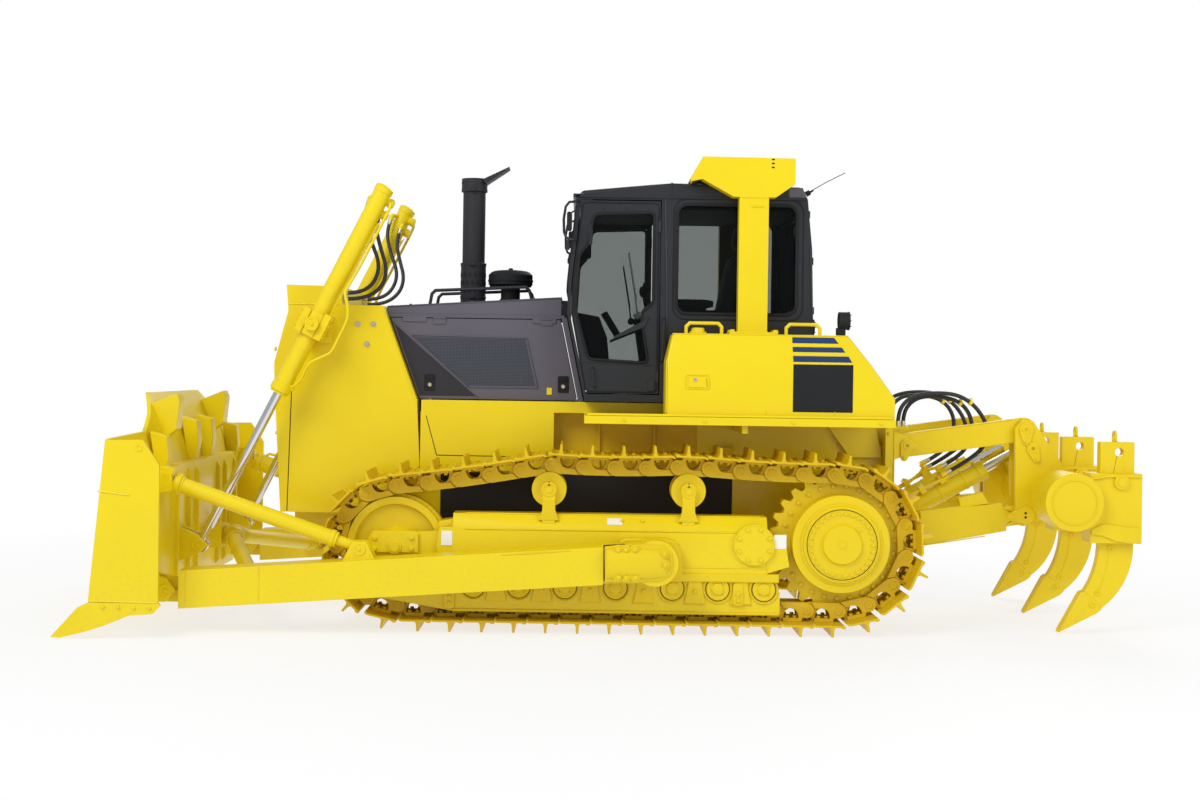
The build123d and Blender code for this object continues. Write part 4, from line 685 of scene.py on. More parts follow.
def turning(centre, radius, start, end, count=160):
    """Points on a circle between two angles."""
    return [centre + radius * Vector((math.cos(a), math.sin(a)))
            for a in (start + (end - start) * n / count for n in range(count))]


idler_top = touching(front_wheel, front_radius, carriers[0], -1)
drive_top = touching(drive, drive_radius, carriers[1], 1)
up_front = math.atan2(*(idler_top - front_wheel).yx)
up_rear = math.atan2(*(drive_top - drive).yx)
line = [Vector((drive.x, pin_height)).lerp(Vector((front_wheel.x, pin_height)), n / 60) for n in range(60)]
line += turning(front_wheel, front_radius, -math.pi / 2, up_front)
line += hanging(idler_top, carriers[0], 0.014) + hanging(carriers[0], carriers[1], 0.014)
line += hanging(carriers[1], drive_top, 0.014)
line += turning(drive, drive_radius, up_rear, 3 * math.pi / 2)


def stations(points, count):
    """Points at equal distances round a closed line."""
    loop = points + points[:1]
    lengths = [0.0]
    for before, after in zip(loop, loop[1:]):
        lengths.append(lengths[-1] + (after - before).length)
    found, number = [], 0
    for station in range(count):
        target = station * lengths[-1] / count
        while lengths[number + 1] < target:
            number += 1
        share = (target - lengths[number]) / (lengths[number + 1] - lengths[number])
        found.append(loop[number].lerp(loop[number + 1], share))
    return found


pins = stations(line, pitch_count)
pitch = (pins[1] - pins[0]).length
print("pitch", round(pitch, 4), "m, links", len(pins))

# %% [markdown]
# The shoe's profile has a tall rib that bites the ground, and lips at both ends that lap over and under the next
# shoe. A link's side is drawn in two halves that meet in the middle of the window, because a flat face with a
# hole in it can't be one polygon.

# %% Outlines of a shoe and a link
shoe_outline = [
    (-0.018, 0.074), (-0.027, 0.083), (-0.024, 0.094), (-0.004, 0.096), (0.008, 0.0885), (0.043, 0.088),
    (0.051, 0.104), (0.0545, 0.153), (0.0695, 0.153), (0.073, 0.104), (0.082, 0.088), (0.172, 0.088),
    (0.188, 0.083), (0.197, 0.072), (0.193, 0.064), (0.184, 0.067), (0.172, 0.0735),
]
window_middle, window_low, window_high, window_half = pitch / 2, -0.010, 0.05, 0.05
link_foot, link_head = -0.058, 0.074


def window_edge(side, degrees):
    """Points of the window's round lower edge, before its middle (-1) or after it (1)."""
    deep = window_high - window_low
    return [(window_middle + side * window_half * math.cos(a), window_high - 0.006 - deep * math.sin(a))
            for a in map(math.radians, degrees)]


def boss(middle, radius, degrees):
    """Points round a pin."""
    return [(middle + radius * math.cos(a), radius * math.sin(a)) for a in map(math.radians, degrees)]


first_half = [
    (window_middle, link_foot), *window_edge(-1, range(90, -1, -15)), (window_middle - window_half, window_high),
    (window_middle, window_high), (window_middle, link_head), (0.036, link_head), (0.03, 0.05),
    *boss(0.0, 0.05, range(75, 241, 15)), (0.0, -0.056), (0.014, link_foot),
]
second_half = [
    (window_middle, link_head), (window_middle, window_high), (window_middle + window_half, window_high),
    *window_edge(1, range(0, 91, 15)), (window_middle, link_foot), (pitch - 0.014, link_foot), (pitch, -0.054),
    *boss(pitch, 0.045, range(-60, 106, 15)), (pitch - 0.03, 0.05), (pitch - 0.036, link_head),
]
print("points round a link:", len(first_half) + len(second_half))

# %% [markdown]
# Each link plate is stepped: its first end lies outside the pin of the link before and its second end inside, as
# forged links nest. Seen from the side, that gives the chain its curved overlaps.

# %% Both tracks
shoe_half_width, rail_offset, rail_thick = 0.279, 0.0825, 0.0225


def track_mesh(sign):
    """One track: shoes, bolts, nested links, pins and bushes."""
    work = Piece()
    for number, pin in enumerate(pins):
        following = pins[(number + 1) % pitch_count]
        along = (following - pin).normalized()
        outward = Vector((along.y, -along.x))

        def put(points):
            return [tuple(pin + along * a + outward * o) for a, o in points]

        def spot(a, o, y):
            place = pin + along * a + outward * o
            return place.x, y, place.y

        out_axis = (outward.x, 0, outward.y)
        work.plate(put(shoe_outline), track_middle - shoe_half_width, track_middle + shoe_half_width, 0.003)
        for side in (-1, 1):
            rail = track_middle + side * rail_offset
            outer, inner = sorted((rail, rail + side * rail_thick)), sorted((rail - side * rail_thick, rail))
            work.plate(put(first_half), *outer, 0.0025)
            work.plate(put(second_half), *inner, 0.0025)
            middle = [(window_middle - 0.056, 0.073), (window_middle - 0.056, window_high),
                      (window_middle + 0.056, window_high), (window_middle + 0.056, 0.073)]
            work.plate(put(middle), *sorted((rail - side * 0.022, rail + side * 0.0222)))
            work.plate(put([(0.03, -0.0575), (pitch - 0.03, -0.0575), (pitch - 0.055, -0.018), (0.055, -0.018)]),
                       rail - 0.0224, rail + 0.0224)
            for a in (0.082, 0.134):
                work.bolt(spot(a, 0.0878, rail), out_axis, 0.015)
                work.turned(spot(a, 0.05, rail), (-outward.x, 0, -outward.y), [(0, 0.014), (0.015, 0.014)], 6)
            work.turned(spot(0, 0, rail + side * 0.015), (0, side, 0), [
                (0, 0.026), (0.012, 0.026), (0.013, 0.022), (0.011, 0.021), (0.0115, 0.006), (0.008, 0.005),
            ], 16)
        work.turned(spot(0, 0, track_middle - 0.061), (0, 1, 0), [(0, 0.031), (0.122, 0.031)], 14)
    work.flip(sign)
    return work


for side, sign in both_sides:
    track = track_mesh(sign).place("chain_" + side, "tractor", "yellow_paint", shaded_chain_enamel)
    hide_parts("track_" + side)
    print("chain_" + side, len(track.data.polygons), "faces")

# %% [markdown]
# ## Running gear
# The plain discs and beams of the solids carry bolted covers on the real machine. Bolt circles are the quickest
# way to show what is a cover and what is a wheel: 30 small bolts hold the final drive's cover, 27 larger ones the
# tooth segments, one behind each tooth. They are drawn in one loop each, so that their spacing is exact.

# %% Bolt circles of the drive and the pivot
def bolt_circle(work, centre, radius, y, count, size, start=0.0):
    """Bolts evenly round a circle on a side face."""
    for number in range(count):
        angle = start + 2 * math.pi * number / count
        work.bolt((centre[0] + radius * math.cos(angle), y, centre[1] + radius * math.sin(angle)), (0, 1, 0), size)


def cover(work, centre, y, profile, sides=40):
    """A turned cover on a side face, from (height off the face, radius)."""
    work.turned((centre[0], y, centre[1]), (0, 1, 0), profile, sides)


def hoop(work, centre, y, inner, outer, height, sides=48):
    """A raised ring on a side face."""
    edge = height * 0.3
    work.turned((centre[0], y, centre[1]), (0, 1, 0), [
        (0, outer), (height - edge, outer), (height, outer - edge), (height, inner + edge), (height - edge, inner),
        (0, inner),
    ], sides, hollow=True)


drive_cover = Piece()
bolt_circle(drive_cover, drive, 0.212, 1.2235, 30, 0.0155)
bolt_circle(drive_cover, drive, 0.386, 1.044, 27, 0.019, math.radians(4))
hoop(drive_cover, drive, 1.196, 0.262, 0.278, 0.014, 72)
hoop(drive_cover, drive, 1.222, 0.236, 0.25, 0.006, 72)
cover(drive_cover, drive, 1.249, [(0, 0.034), (0.004, 0.032), (0.004, 0.02), (0.009, 0.018)])
cover(drive_cover, drive + Vector((-0.109, 0.107)), 1.223, [(0, 0.021), (0.006, 0.019), (0.006, 0.011), (0.01, 0.01)])
for lean in (1, -1):
    drive_cover.bolt((drive.x + 0.03 * lean, 1.249, drive.y + 0.038 * lean), (0, 1, 0), 0.006)
drive_cover.place("drive_covers", "tractor", "yellow_paint", cast_enamel, both=True)
# Painted shade: a thin black ring at the edge of the drive's cover stands for the shadow in the gap around it.
drive_shade_ring = Piece()
hoop(drive_shade_ring, drive, 1.2225, 0.2365, 0.242, 0.007, 72)
drive_shade_ring.place("drive_shade_rings", "tractor", "black_paint", soft_black, both=True)

pivot = (-0.949, 0.61)
pivot_work = Piece()
bolt_circle(pivot_work, pivot, 0.112, 1.2115, 8, 0.017, math.radians(22))
hoop(pivot_work, pivot, 1.2115, 0.128, 0.138, 0.003)
pivot_work.place("pivot_bolts", "tractor", "yellow_paint", yellow_enamel, both=True)
print("bolts round each drive:", 30 + 27)

# %% [markdown]
# The front wheel turns in a bearing block that slides in a fork, bolted at its corners. Carrier rollers sit on
# posts with a flared foot and a slotted top, and each has a thin flange outside the rails that keeps the chain on.

# %% Front wheel blocks and carrier rollers
blocks = Piece()
block_outline = [(1.335, 0.52), (1.675, 0.52), (1.675, 0.625), (1.645, 0.665), (1.36, 0.668), (1.335, 0.65)]
blocks.plate(block_outline, 1.158, 1.188, 0.005)
for x, z in ((1.633, 0.618), (1.382, 0.622), (1.382, 0.547), (1.633, 0.545)):
    blocks.bolt((x, 1.1875, z), (0, 1, 0), 0.019)
cover(blocks, front_wheel, 1.187, [(0, 0.05), (0.01, 0.048), (0.01, 0.036), (0.018, 0.034)])
cheek = [(1.06, 0.47), (1.19, 0.47), (1.215, 0.56), (1.195, 0.7), (1.06, 0.7)]
blocks.plate(cheek, 1.162, 1.188, 0.004)
blocks.plate([(1.105, 0.69), (1.205, 0.69), (1.205, 0.735), (1.105, 0.75)], 0.93, 1.13, 0.006)
hoop(blocks, front_wheel, 1.105, 0.285, 0.30, 0.006, 72)
blocks.place("front_wheel_blocks", "tractor", "yellow_paint", yellow_enamel, both=True)

posts = Piece()
for carrier in carriers:
    x, z = carrier.x, 0.962
    foot = [(x - 0.043, 0.9), (x - 0.045, 0.82), (x - 0.07, 0.752),
            (x + 0.07, 0.752), (x + 0.045, 0.82), (x + 0.043, 0.9)]
    posts.plate(foot, 1.118, 1.164, 0.004)
    hoop(posts, (x, z), 1.158, 0.036, 0.05, 0.008)
    cover(posts, (x, z), 1.158, [(0, 0.024), (0.01, 0.022)], 24)
    for side in (-1, 1):
        rim = 1.0 + side * 0.1105
        hoop(posts, (x, z), rim - 0.0035, 0.05, 0.119, 0.007)
posts.place("carrier_posts", "tractor", "yellow_paint", cast_enamel, both=True)

slots = Piece()
for carrier in carriers:
    slots.plate(rounded(carrier.x - 0.006, 0.988, carrier.x + 0.006, 1.016, 0.005), 1.158, 1.1645)
slots.place("carrier_slots", "tractor", "black_paint", soft_black, both=True)
print("posts:", 2 * len(carriers))

# %% [markdown]
# Under the frame, the guard is scalloped round each track roller, so the rollers' end caps show as discs with a
# dark edge where shadow falls into the scallop. Between them stand bolted spacers with sloping sides. The scallops are
# drawn as a raised rim and a cap inside it, because the guard in the solids is one plain plate. A thin black ring
# inside the rim is painted shade for that dark edge.

# %% Roller caps and guard spacers
roller_places = (0.957, 0.649, 0.334, -0.01, -0.396, -0.706, -1.02)
roller_height = 0.303
guard_face = 1.174
caps = Piece()
shade = Piece()
for x in roller_places:
    centre = (x, roller_height)
    cover(caps, centre, guard_face, [
        (0, 0.078), (0.012, 0.077), (0.015, 0.07), (0.01, 0.056), (0.01, 0.044), (0.02, 0.038), (0.023, 0.03)])
    hoop(caps, centre, guard_face, 0.089, 0.1, 0.012)
    # Painted shade: a thin black ring inside the rim stands for the scallop's shadowed edge.
    hoop(shade, centre, guard_face, 0.0775, 0.083, 0.003)
    for angle in range(0, 360, 90):
        turn = math.radians(angle + 45)
        caps.bolt((x + 0.05 * math.cos(turn), 1.184, roller_height + 0.05 * math.sin(turn)), (0, 1, 0), 0.008)
for ahead, behind in zip(roller_places, roller_places[1:]):
    x = (ahead + behind) / 2
    spacer = [(x - 0.072, 0.2), (x + 0.072, 0.2), (x + 0.036, 0.395), (x - 0.036, 0.395)]
    caps.plate(spacer, guard_face, 1.19, 0.004)
    caps.bolt((x, 1.19, 0.285), (0, 1, 0), 0.017)
for x, z in ((-0.845, 0.254), (1.12, 0.209)):
    caps.plate(rounded(x - 0.036, z - 0.062, x + 0.036, z + 0.09, 0.02), guard_face, 1.2, 0.004)
    for lift in (-0.025, 0.02):
        caps.bolt((x, 1.2, z + lift), (0, 1, 0), 0.017)
caps.plate([(-1.12, 0.128), (1.1, 0.128), (1.1, 0.146), (-1.12, 0.146)], 1.172, 1.192, 0.004)
caps.plate([(-1.12, 0.352), (1.1, 0.352), (1.1, 0.41), (-1.12, 0.41)], 1.18, 1.203, 0.006)
caps.place("roller_caps", "tractor", "yellow_paint", cast_enamel, both=True)
shade.place("roller_shade_rings", "tractor", "black_paint", soft_black, both=True)
print("rollers a side:", len(roller_places))

# %% [markdown]
# The push arm turns on a trunnion under a cast cap. The cap swells outwards along the arm and is held by eight
# bolts, and a dark joint shows where it ends. Behind it, the track frame has its own raised casting.

# %% Trunnion caps on the push arms
cap = Piece()
cap.plate([(0.068, 0.388), (0.074, 0.62), (-0.02, 0.634), (-0.2, 0.64), (-0.33, 0.628), (-0.372, 0.585),
           (-0.38, 0.5), (-0.36, 0.44), (-0.3, 0.4), (-0.12, 0.386)], 1.548, 1.563, 0.005)
rings = []
for share in range(13):
    x = 0.062 - 0.4 * share / 12
    swell = math.sqrt(max(0.0, 1 - max(0.0, (share - 7) / 5.2) ** 2))
    half = 0.072 + 0.028 * swell
    rings.append(cap.ring([
        (x, 1.56 + 0.052 * swell * math.sin(math.pi * n / 12), 0.512 - half * math.cos(math.pi * n / 12))
        for n in range(13)
    ]))
cap.skin(rings)
for x, z in ((-0.014, 0.6045), (-0.066, 0.606), (-0.125, 0.608), (-0.02, 0.424), (-0.07, 0.422), (-0.13, 0.423),
             (-0.319, 0.581), (-0.326, 0.511)):
    cap.turned((x, 1.55, z), (0, 1, 0), [(0, 0.031), (0.036, 0.031), (0.04, 0.027)], 20)
    cap.bolt((x, 1.589, z), (0, 1, 0), 0.02)
cap.tube([(0.303, 1.551, 0.59), (0.45, 1.552, 0.5785), (0.6, 1.552, 0.566), (0.758, 1.551, 0.554)], 0.004, 8)
cap.place("trunnion_caps", "blade", "yellow_paint", cast_enamel, both=True)

joint = Piece()
joint.plate([(0.066, 0.392), (0.0745, 0.392), (0.0815, 0.63), (-0.06, 0.641), (-0.06, 0.635), (0.0735, 0.622)],
            1.55, 1.5535)
joint.place("cap_joints", "blade", "black_paint", soft_black, both=True)

casting = Piece()
casting.plate([(-0.03, 0.4), (-0.03, 0.63), (-0.06, 0.648), (-0.34, 0.652), (-0.41, 0.632), (-0.448, 0.57),
               (-0.452, 0.4), (-0.43, 0.385), (-0.05, 0.385)], 1.186, 1.288, 0.012)
casting.place("trunnion_castings", "tractor", "yellow_paint", cast_enamel, both=True)
print("bolts in each cap:", 8)

# %% [markdown]
# Weld beads run where plates meet. A bead is a thin round tube half sunk in the corner, which catches the light
# as a fine line. Blank white plates stand where the real machine carries its printed ones.

# %% Weld beads and blank plates on the track frames
frame_seam = 1.191
beads = Piece()
for line_points in (
    [(-0.476, frame_seam, 0.449), (-1.03, frame_seam, 0.451)],
    [(0.4, frame_seam, 0.449), (1.04, frame_seam, 0.449)],
    [(1.02, 1.111, 0.791), (-1.0, 1.111, 0.791)],
    [(1.02, frame_seam, 0.691), (-1.0, frame_seam, 0.691)],
    [(-1.041, frame_seam, 0.43), (-1.041, frame_seam, 0.68)],
):
    beads.tube(line_points, 0.005, 8)
for x in (-0.05, -0.19):
    beads.bolt((x, 1.139, 0.752), (0, 0.78, 0.625), 0.016)
beads.place("frame_welds", "tractor", "yellow_paint", yellow_enamel, both=True)

plates = Piece()
plates.plate(rounded(-1.168, 0.585, -1.085, 0.68, 0.006), 1.189, 1.1925)
plates.plate(rounded(1.105, 0.575, 1.18, 0.675, 0.006), 1.189, 1.1925)
plates.slab([(0.052, 1.1605, 0.7285), (-0.052, 1.1605, 0.7285), (-0.052, 1.1285, 0.7685), (0.052, 1.1285, 0.7685)],
            (0, 0.0016, 0.0012))
plates.place("blank_plates", "tractor", None, label_white, both=True)
print("blank plates a side:", 3)

# %% [markdown]
# ## Blade
# Behind the blade's top stand six gusset ribs, and along its foot a row of plough bolts holds the cutting edge.
# The end plate carries a long weld, and the brackets of the brace have clamp plates with a pin. All of them
# follow the blade when it lifts.

# %% Ribs, welds and bolts of the blade
end_seam = 1.8205
blade_work = Piece()
for y, low, reach in ((0.25, 1.1, 0.06), (1.17, 1.02, 0.05)):
    rib = [(3.165, low + 0.3), (3.05, low + 0.27), (3.035, low + 0.12), (3.06, low - 0.02), (3.11, low - 0.06)]
    blade_work.plate(rib, y - reach, y + reach, 0.006)
blade_work.plate([(3.052, 1.052), (3.052, 1.088), (3.15, 1.088), (3.15, 1.052)], 0.05, 0.98, 0.004)
for y in (0.36, 0.62, 0.98):
    blade_work.plate([(3.048, 0.24), (3.012, 0.28), (3.012, 1.0), (3.048, 1.06)], y - 0.012, y + 0.012, 0.004)
blade_work.tube([(3.345, end_seam, 0.957), (3.14, end_seam, 0.934)], 0.006, 8)
blade_work.tube([(2.955, end_seam, 0.244), (3.395, end_seam, 0.2475)], 0.005, 8)
cover(blade_work, (3.083, 1.24), 1.819, [(0, 0.026), (0.006, 0.024), (0.006, 0.014), (0.002, 0.012)], 24)
for x, z in ((3.0, 0.245), (3.1, 0.245), (3.2, 0.247), (3.3, 0.248)):
    blade_work.bolt((x, 1.8195, z - 0.035), (0, 1, 0), 0.014)
blade_work.place("blade_ribs", "blade", "yellow_paint", yellow_enamel, both=True)

edge_bolts = Piece()
lean = Vector((0.195, 0, 0.253)).normalized()
for number in range(12):
    y = 0.08 + 0.083 * number
    for share in (0.22, 0.36):
        spot = Vector((3.307 + (3.515 - 3.307) * share, y, 0.205 + (0.016 - 0.205) * share))
        edge_bolts.turned(spot + lean * 0.001, lean,
                          [(-0.004, 0.017), (0.002, 0.016), (0.003, 0.009), (0.0, 0.008)], 16)
edge_bolts.place("edge_bolts", "blade", "yellow_paint", worn_steel, both=True)
print("plough bolts:", 2 * 2 * 12)

# %% [markdown]
# Each end of the brace and of the arms turns on a pin with a cap. A cap is a shallow disc with a raised rim and a
# bolt in its middle, which reads as a machined part on the rough plate.

# %% Pins, clamps and collars
def pin_cap(work, x, z, y, radius):
    """Machined end of a pin."""
    cover(work, (x, z), y, [(0, radius), (radius * 0.16, radius * 0.95), (radius * 0.16, radius * 0.72),
                            (radius * 0.08, radius * 0.66), (radius * 0.08, radius * 0.4)], 28)
    work.bolt((x, y + radius * 0.08, z), (0, 1, 0), radius * 0.3)


arm_seam = 1.551
pins_work = Piece()
pin_cap(pins_work, 2.97, 0.285, 1.522, 0.044)
pin_cap(pins_work, 2.906, 0.52, 0.88, 0.045)
pin_cap(pins_work, 1.702, 0.57, 1.466, 0.044)
pin_cap(pins_work, 2.995, 1.03, 1.454, 0.02)
brace_front, brace_rear = Vector((2.95, 1.4, 0.989)), Vector((1.702, 1.4, 0.57))
along_brace = (brace_rear - brace_front).normalized()
for reach, radius in ((0.012, 0.072), (0.03, 0.06), (1.1, 0.06)):
    pins_work.turned(brace_front + along_brace * reach, along_brace, [
        (0, radius - 0.004), (0.004, radius), (0.03, radius), (0.034, radius - 0.004)], 28)
clamp_up = Vector((-along_brace.z, 0, along_brace.x)) * -1
for side in (-1, 1):
    for lift in (0.062, -0.062):
        spot = brace_front + along_brace * 0.014 + clamp_up * lift + Vector((0, side * 0.035, 0))
        pins_work.bolt(spot, along_brace, 0.013)
pins_work.plate([(2.94, 1.075), (2.985, 1.098), (3.06, 1.098), (3.06, 1.05), (2.95, 1.04)], 1.352, 1.448, 0.006)
for x in (2.83, 2.35):
    pins_work.tube([(x, arm_seam, 0.42 - (x - 2.83) * 0.07), (x, arm_seam, 0.19 - (x - 2.83) * 0.07)], 0.0035, 8)
pins_work.place("blade_pins", "blade", "yellow_paint", yellow_enamel, both=True)

joint_work = Piece()
joint_work.turned((2.832, -0.092, 0.505), (0, 1, 0), [(0, 0.072), (0.012, 0.078), (0.172, 0.078), (0.184, 0.072)], 36)
for y in (-0.095, 0.095):
    joint_work.turned((2.832, y, 0.505), (0, math.copysign(1, y), 0), [(0, 0.05), (0.008, 0.048), (0.008, 0.02)], 28)
for side in (-1, 1):
    start, end = Vector((2.44, side * 1.26, 0.325)), Vector((2.832, side * 0.035, 0.505))
    way = (end - start).normalized()
    for share in (0.05, 0.9):
        joint_work.turned(start.lerp(end, share), way, [(0, 0.06), (0.006, 0.064), (0.05, 0.064), (0.056, 0.06)], 28)
joint_work.place("centre_joint", "blade", "yellow_paint", cast_enamel)

tilt_work = Piece()
tilt_start, tilt_end = Vector((2.95, -1.4, 0.989)), Vector((1.702, -1.4, 0.57))
length, tilt_way = (tilt_end - tilt_start).length, (tilt_end - tilt_start).normalized()
for reach, radius, wide in ((0.02, 0.078, 0.04), (0.5 * length, 0.08, 0.05), (0.515 * length + 0.02, 0.064, 0.03)):
    tilt_work.turned(tilt_start + tilt_way * reach, tilt_way, [
        (0, radius - 0.005), (0.005, radius), (wide, radius), (wide + 0.005, radius - 0.005)], 32)
tilt_up = Vector((-tilt_way.z, 0, tilt_way.x)) * -1
tilt_pipe = [tilt_start + tilt_way * r + tilt_up * u for r, u in (
    (0.08, 0.07), (0.1, 0.092), (0.14, 0.098), (0.56, 0.098), (0.6, 0.092), (0.62, 0.07))]
tilt_work.tube(tilt_pipe, 0.011, 12)
tilt_work.place("tilt_collars", "blade", "yellow_paint", yellow_enamel)
print("pins and collars placed")

# %% [markdown]
# ## Lift cylinders
# A steel pipe runs down the back of each barrel and round to the rod end, because the hoses stop at the top.
# Positions along the cylinder are easiest in its own axes: up the barrel from the yoke's pin, and out from its
# middle line towards the rear.

# %% Pipes, yoke clamps and glands
yoke = Vector((2.126, 0.8, 2.076))
down = Vector((2.906 - 2.126, 0, 0.52 - 2.076)).normalized()
rearward = Vector((down.z, 0, -down.x))


def on_lift(up_barrel, out_rear, y=0.8):
    """A point of the left lift cylinder, from its own axes."""
    spot = yoke - down * up_barrel + rearward * out_rear
    return Vector((spot.x, y, spot.z))


lift_work = Piece()
lift_work.turned(on_lift(-0.53, 0), -down, [
    (0, 0.058), (0, 0.068), (0.004, 0.074), (0.045, 0.074), (0.05, 0.07), (0.065, 0.07), (0.07, 0.058)],
    40, hollow=True)
lift_work.turned(on_lift(1.04, 0), -down, [
    (0, 0.0635), (0.003, 0.067), (0.036, 0.067), (0.048, 0.058), (0.056, 0.035), (0.058, 0.0)], 40)
for reach in (0.82, 0.3, -0.2):
    lift_work.turned(on_lift(reach, 0), -down, [(0, 0.062), (0.002, 0.0645), (0.008, 0.0645), (0.01, 0.062)],
                     40, hollow=True)
for low, high, inner, outer in ((-0.088, 0.105, 0.05, 0.098), (-0.088, 0.088, -0.098, -0.05)):
    lift_work.slab([on_lift(low, inner, 0.71), on_lift(high, inner, 0.71), on_lift(high, outer, 0.71),
                    on_lift(low, outer, 0.71)], (0, 0.18, 0))
for reach in (0.084, 0.032, -0.063):
    for y in (0.735, 0.865):
        lift_work.bolt(on_lift(reach, 0.0975, y), rearward, 0.018)
        lift_work.bolt(on_lift(reach * 0.8, -0.0975, y), -rearward, 0.018)
pin_cap(lift_work, 2.126, 2.076, 0.918, 0.05)
lift_work.slab([on_lift(0.14, 0.056, 0.786), on_lift(0.8, 0.056, 0.786), on_lift(0.86, 0.082, 0.786),
                on_lift(0.12, 0.082, 0.786)], (0, 0.028, 0))
for reach in (0.36, 0.66, 0.8):
    lift_work.turned(on_lift(reach, 0.07, 0.812), (0, 1, 0), [(0, 0.012), (0.006, 0.011), (0.006, 0.005)], 16)
for reach in (1.0, 0.905):
    lift_work.turned(on_lift(reach, 0.05, 0.76), rearward, [(0, 0.03), (0.05, 0.03), (0.056, 0.026)], 20)
    lift_work.turned(on_lift(reach + 0.034, 0.085, 0.76), down, [(0, 0.016), (0.068, 0.016)], 6)
lift_work.place("lift_barrel_trim", "lift_barrels", "yellow_paint", yellow_enamel, both=True)

pipe_work = Piece()
bends = [on_lift(1.0, 0.09, 0.84), on_lift(0.96, 0.104, 0.845), on_lift(0.5, 0.104, 0.845), on_lift(0.42, 0.1, 0.85),
         Vector((1.9035, 0.9, 2.2995)), Vector((1.876, 0.918, 2.2)), Vector((1.874, 0.92, 2.11)),
         Vector((1.975, 0.92, 1.9)), Vector((2.0, 0.92, 1.868)), Vector((2.125, 0.905, 1.812)),
         Vector((2.16, 0.895, 1.775)), Vector((2.205, 0.87, 1.68)),
         on_lift(-0.46, 0.075, 0.84), on_lift(-0.47, 0.05, 0.82)]
pipe_line = []
for before, corner, after in zip(bends, bends[1:], bends[2:]):
    first, last = corner.lerp(before, 0.3), corner.lerp(after, 0.3)
    pipe_line += [first.lerp(corner, t).lerp(corner.lerp(last, t), t) for t in (0, 0.25, 0.5, 0.75, 1)]
pipe_work.tube([bends[0], *pipe_line, bends[-1]], 0.0105, 12)
pipe_work.turned(on_lift(-0.47, 0.052, 0.815), rearward, [(0, 0.024), (0.03, 0.024), (0.034, 0.02)], 6)
pipe_work.place("lift_pipes", "lift_barrels", "yellow_paint", yellow_enamel, both=True)


def hose_nut(work, first, second, radius):
    """Hexagon nut and ferrule at the end of a hose."""
    way = (second - first).normalized()
    work.turned(first - way * 0.028, way, [(0, radius * 1.36), (0.022, radius * 1.36)], 6)
    work.turned(first - way * 0.006, way, [(0, radius * 1.18), (0.04, radius * 1.18), (0.044, radius * 1.1)], 20)


upper_nuts, lower_nuts = Piece(), Piece()
for route in lift_routes:
    points = spline_points(route)
    hose_nut(upper_nuts, points[0], points[2], 0.014)
    hose_nut(lower_nuts, points[-1], points[-3], 0.014)
upper_nuts.place("hose_nuts_upper", "lift_barrels", "chrome_rod", plated, both=True)
lower_nuts.place("hose_nuts_lower", "tractor", "chrome_rod", plated, both=True)
print("lift cylinder trim ready")

# %% [markdown]
# ## Hood and radiator guard
# The hood's side doors are grey sheet with a darker front corner and a recessed mesh panel for cooling air. The
# mesh is far too fine for geometry at this distance, so its holes are a shader pattern: two crossed waves give
# rows of dots that darken the colour and dent the surface.

# %% Mesh finish
mesh_dark = Finish("cooling_mesh")
place = mesh_dark.node("TexCoord", output=3)
level_wave = mesh_dark.node("TexWave", {"bands_direction": "X"}, {"Vector": place, "Scale": 30.0})
upright_wave = mesh_dark.node("TexWave", {"bands_direction": "Z"}, {"Vector": place, "Scale": 30.0})
holes = level_wave * upright_wave
mesh_dark.set(
    Base_Color=blend_colour(mesh_dark, holes, linear("3B404C"), linear("15161A")),
    Roughness=0.5 + holes * 0.3, Normal=bump(mesh_dark, 1 - holes, 0.6, 0.002),
)

# %% Hood doors' panels and latches
for side, sign in both_sides:
    body = "hood_door_" + side
    corner = Piece()
    corner.plate([(1.595, 2.1), (1.0, 1.582), (1.404, 1.582)], 0.4995, 0.503, 0.001)
    mesh_panel = Piece()
    mesh_panel.plate([(1.44, 2.0), (0.65, 1.995), (0.575, 1.66), (1.055, 1.66)], 0.4995, 0.5025, 0.001)
    frame_line = [(1.467, 0.503, 2.015), (0.638, 0.503, 2.006), (0.554, 0.503, 1.647), (1.047, 0.503, 1.647)]
    trim = Piece()
    trim.tube(frame_line, 0.0055, 8, closed=True)
    trim.tube([(1.615, 0.503, 2.118), (0.985, 0.503, 1.572)], 0.004, 8)
    latches = Piece()
    knobs = Piece()
    for x in (1.333, 0.372):
        latches.plate(rounded(x - 0.04, 1.615, x + 0.04, 1.735, 0.012), 0.499, 0.506, 0.002)
        latches.plate(rounded(x - 0.03, 1.7, x + 0.03, 1.722, 0.005), 0.505, 0.512, 0.002)
        knobs.turned((x, 0.505, 1.66), (0, 1, 0), [(0, 0.017), (0.006, 0.017), (0.012, 0.012), (0.013, 0.004)], 20)
    tag = Piece()
    tag.plate(rounded(0.455, 1.6, 0.49, 1.65, 0.004), 0.4995, 0.502)
    for work, name, finish, slot in (
        (corner, "dark_corner_", panel_dark, "black_paint"),
        (mesh_panel, "mesh_panel_", mesh_dark.material, "black_paint"),
        (trim, "door_trim_", hood_grey, "hood_grey"), (latches, "latch_plates_", soft_black, "black_paint"),
        (knobs, "latch_knobs_", plated, "chrome_rod"), (tag, "yellow_tag_", yellow_enamel, "yellow_paint"),
    ):
        work.flip(sign)
        work.place(name + side, body, slot, finish)
print("latches a side:", 2)

# %% [markdown]
# The guard's sheets have a bolted service cover, an upright joint near the front and seams. The visor has pipes
# behind it for the lift hoses. Behind the hood, a firewall closes the gap to the cab, so that no light shows
# through.

# %% Guard, visor and firewall
guard_work = Piece()
for x, z in ((1.8445, 2.0863), (1.7337, 2.0879), (1.778, 1.9443)):
    guard_work.bolt((x, 0.6, z), (0, 1, 0), 0.02)
guard_work.place("guard_bolts", "tractor", "chrome_rod", plated, both=True)

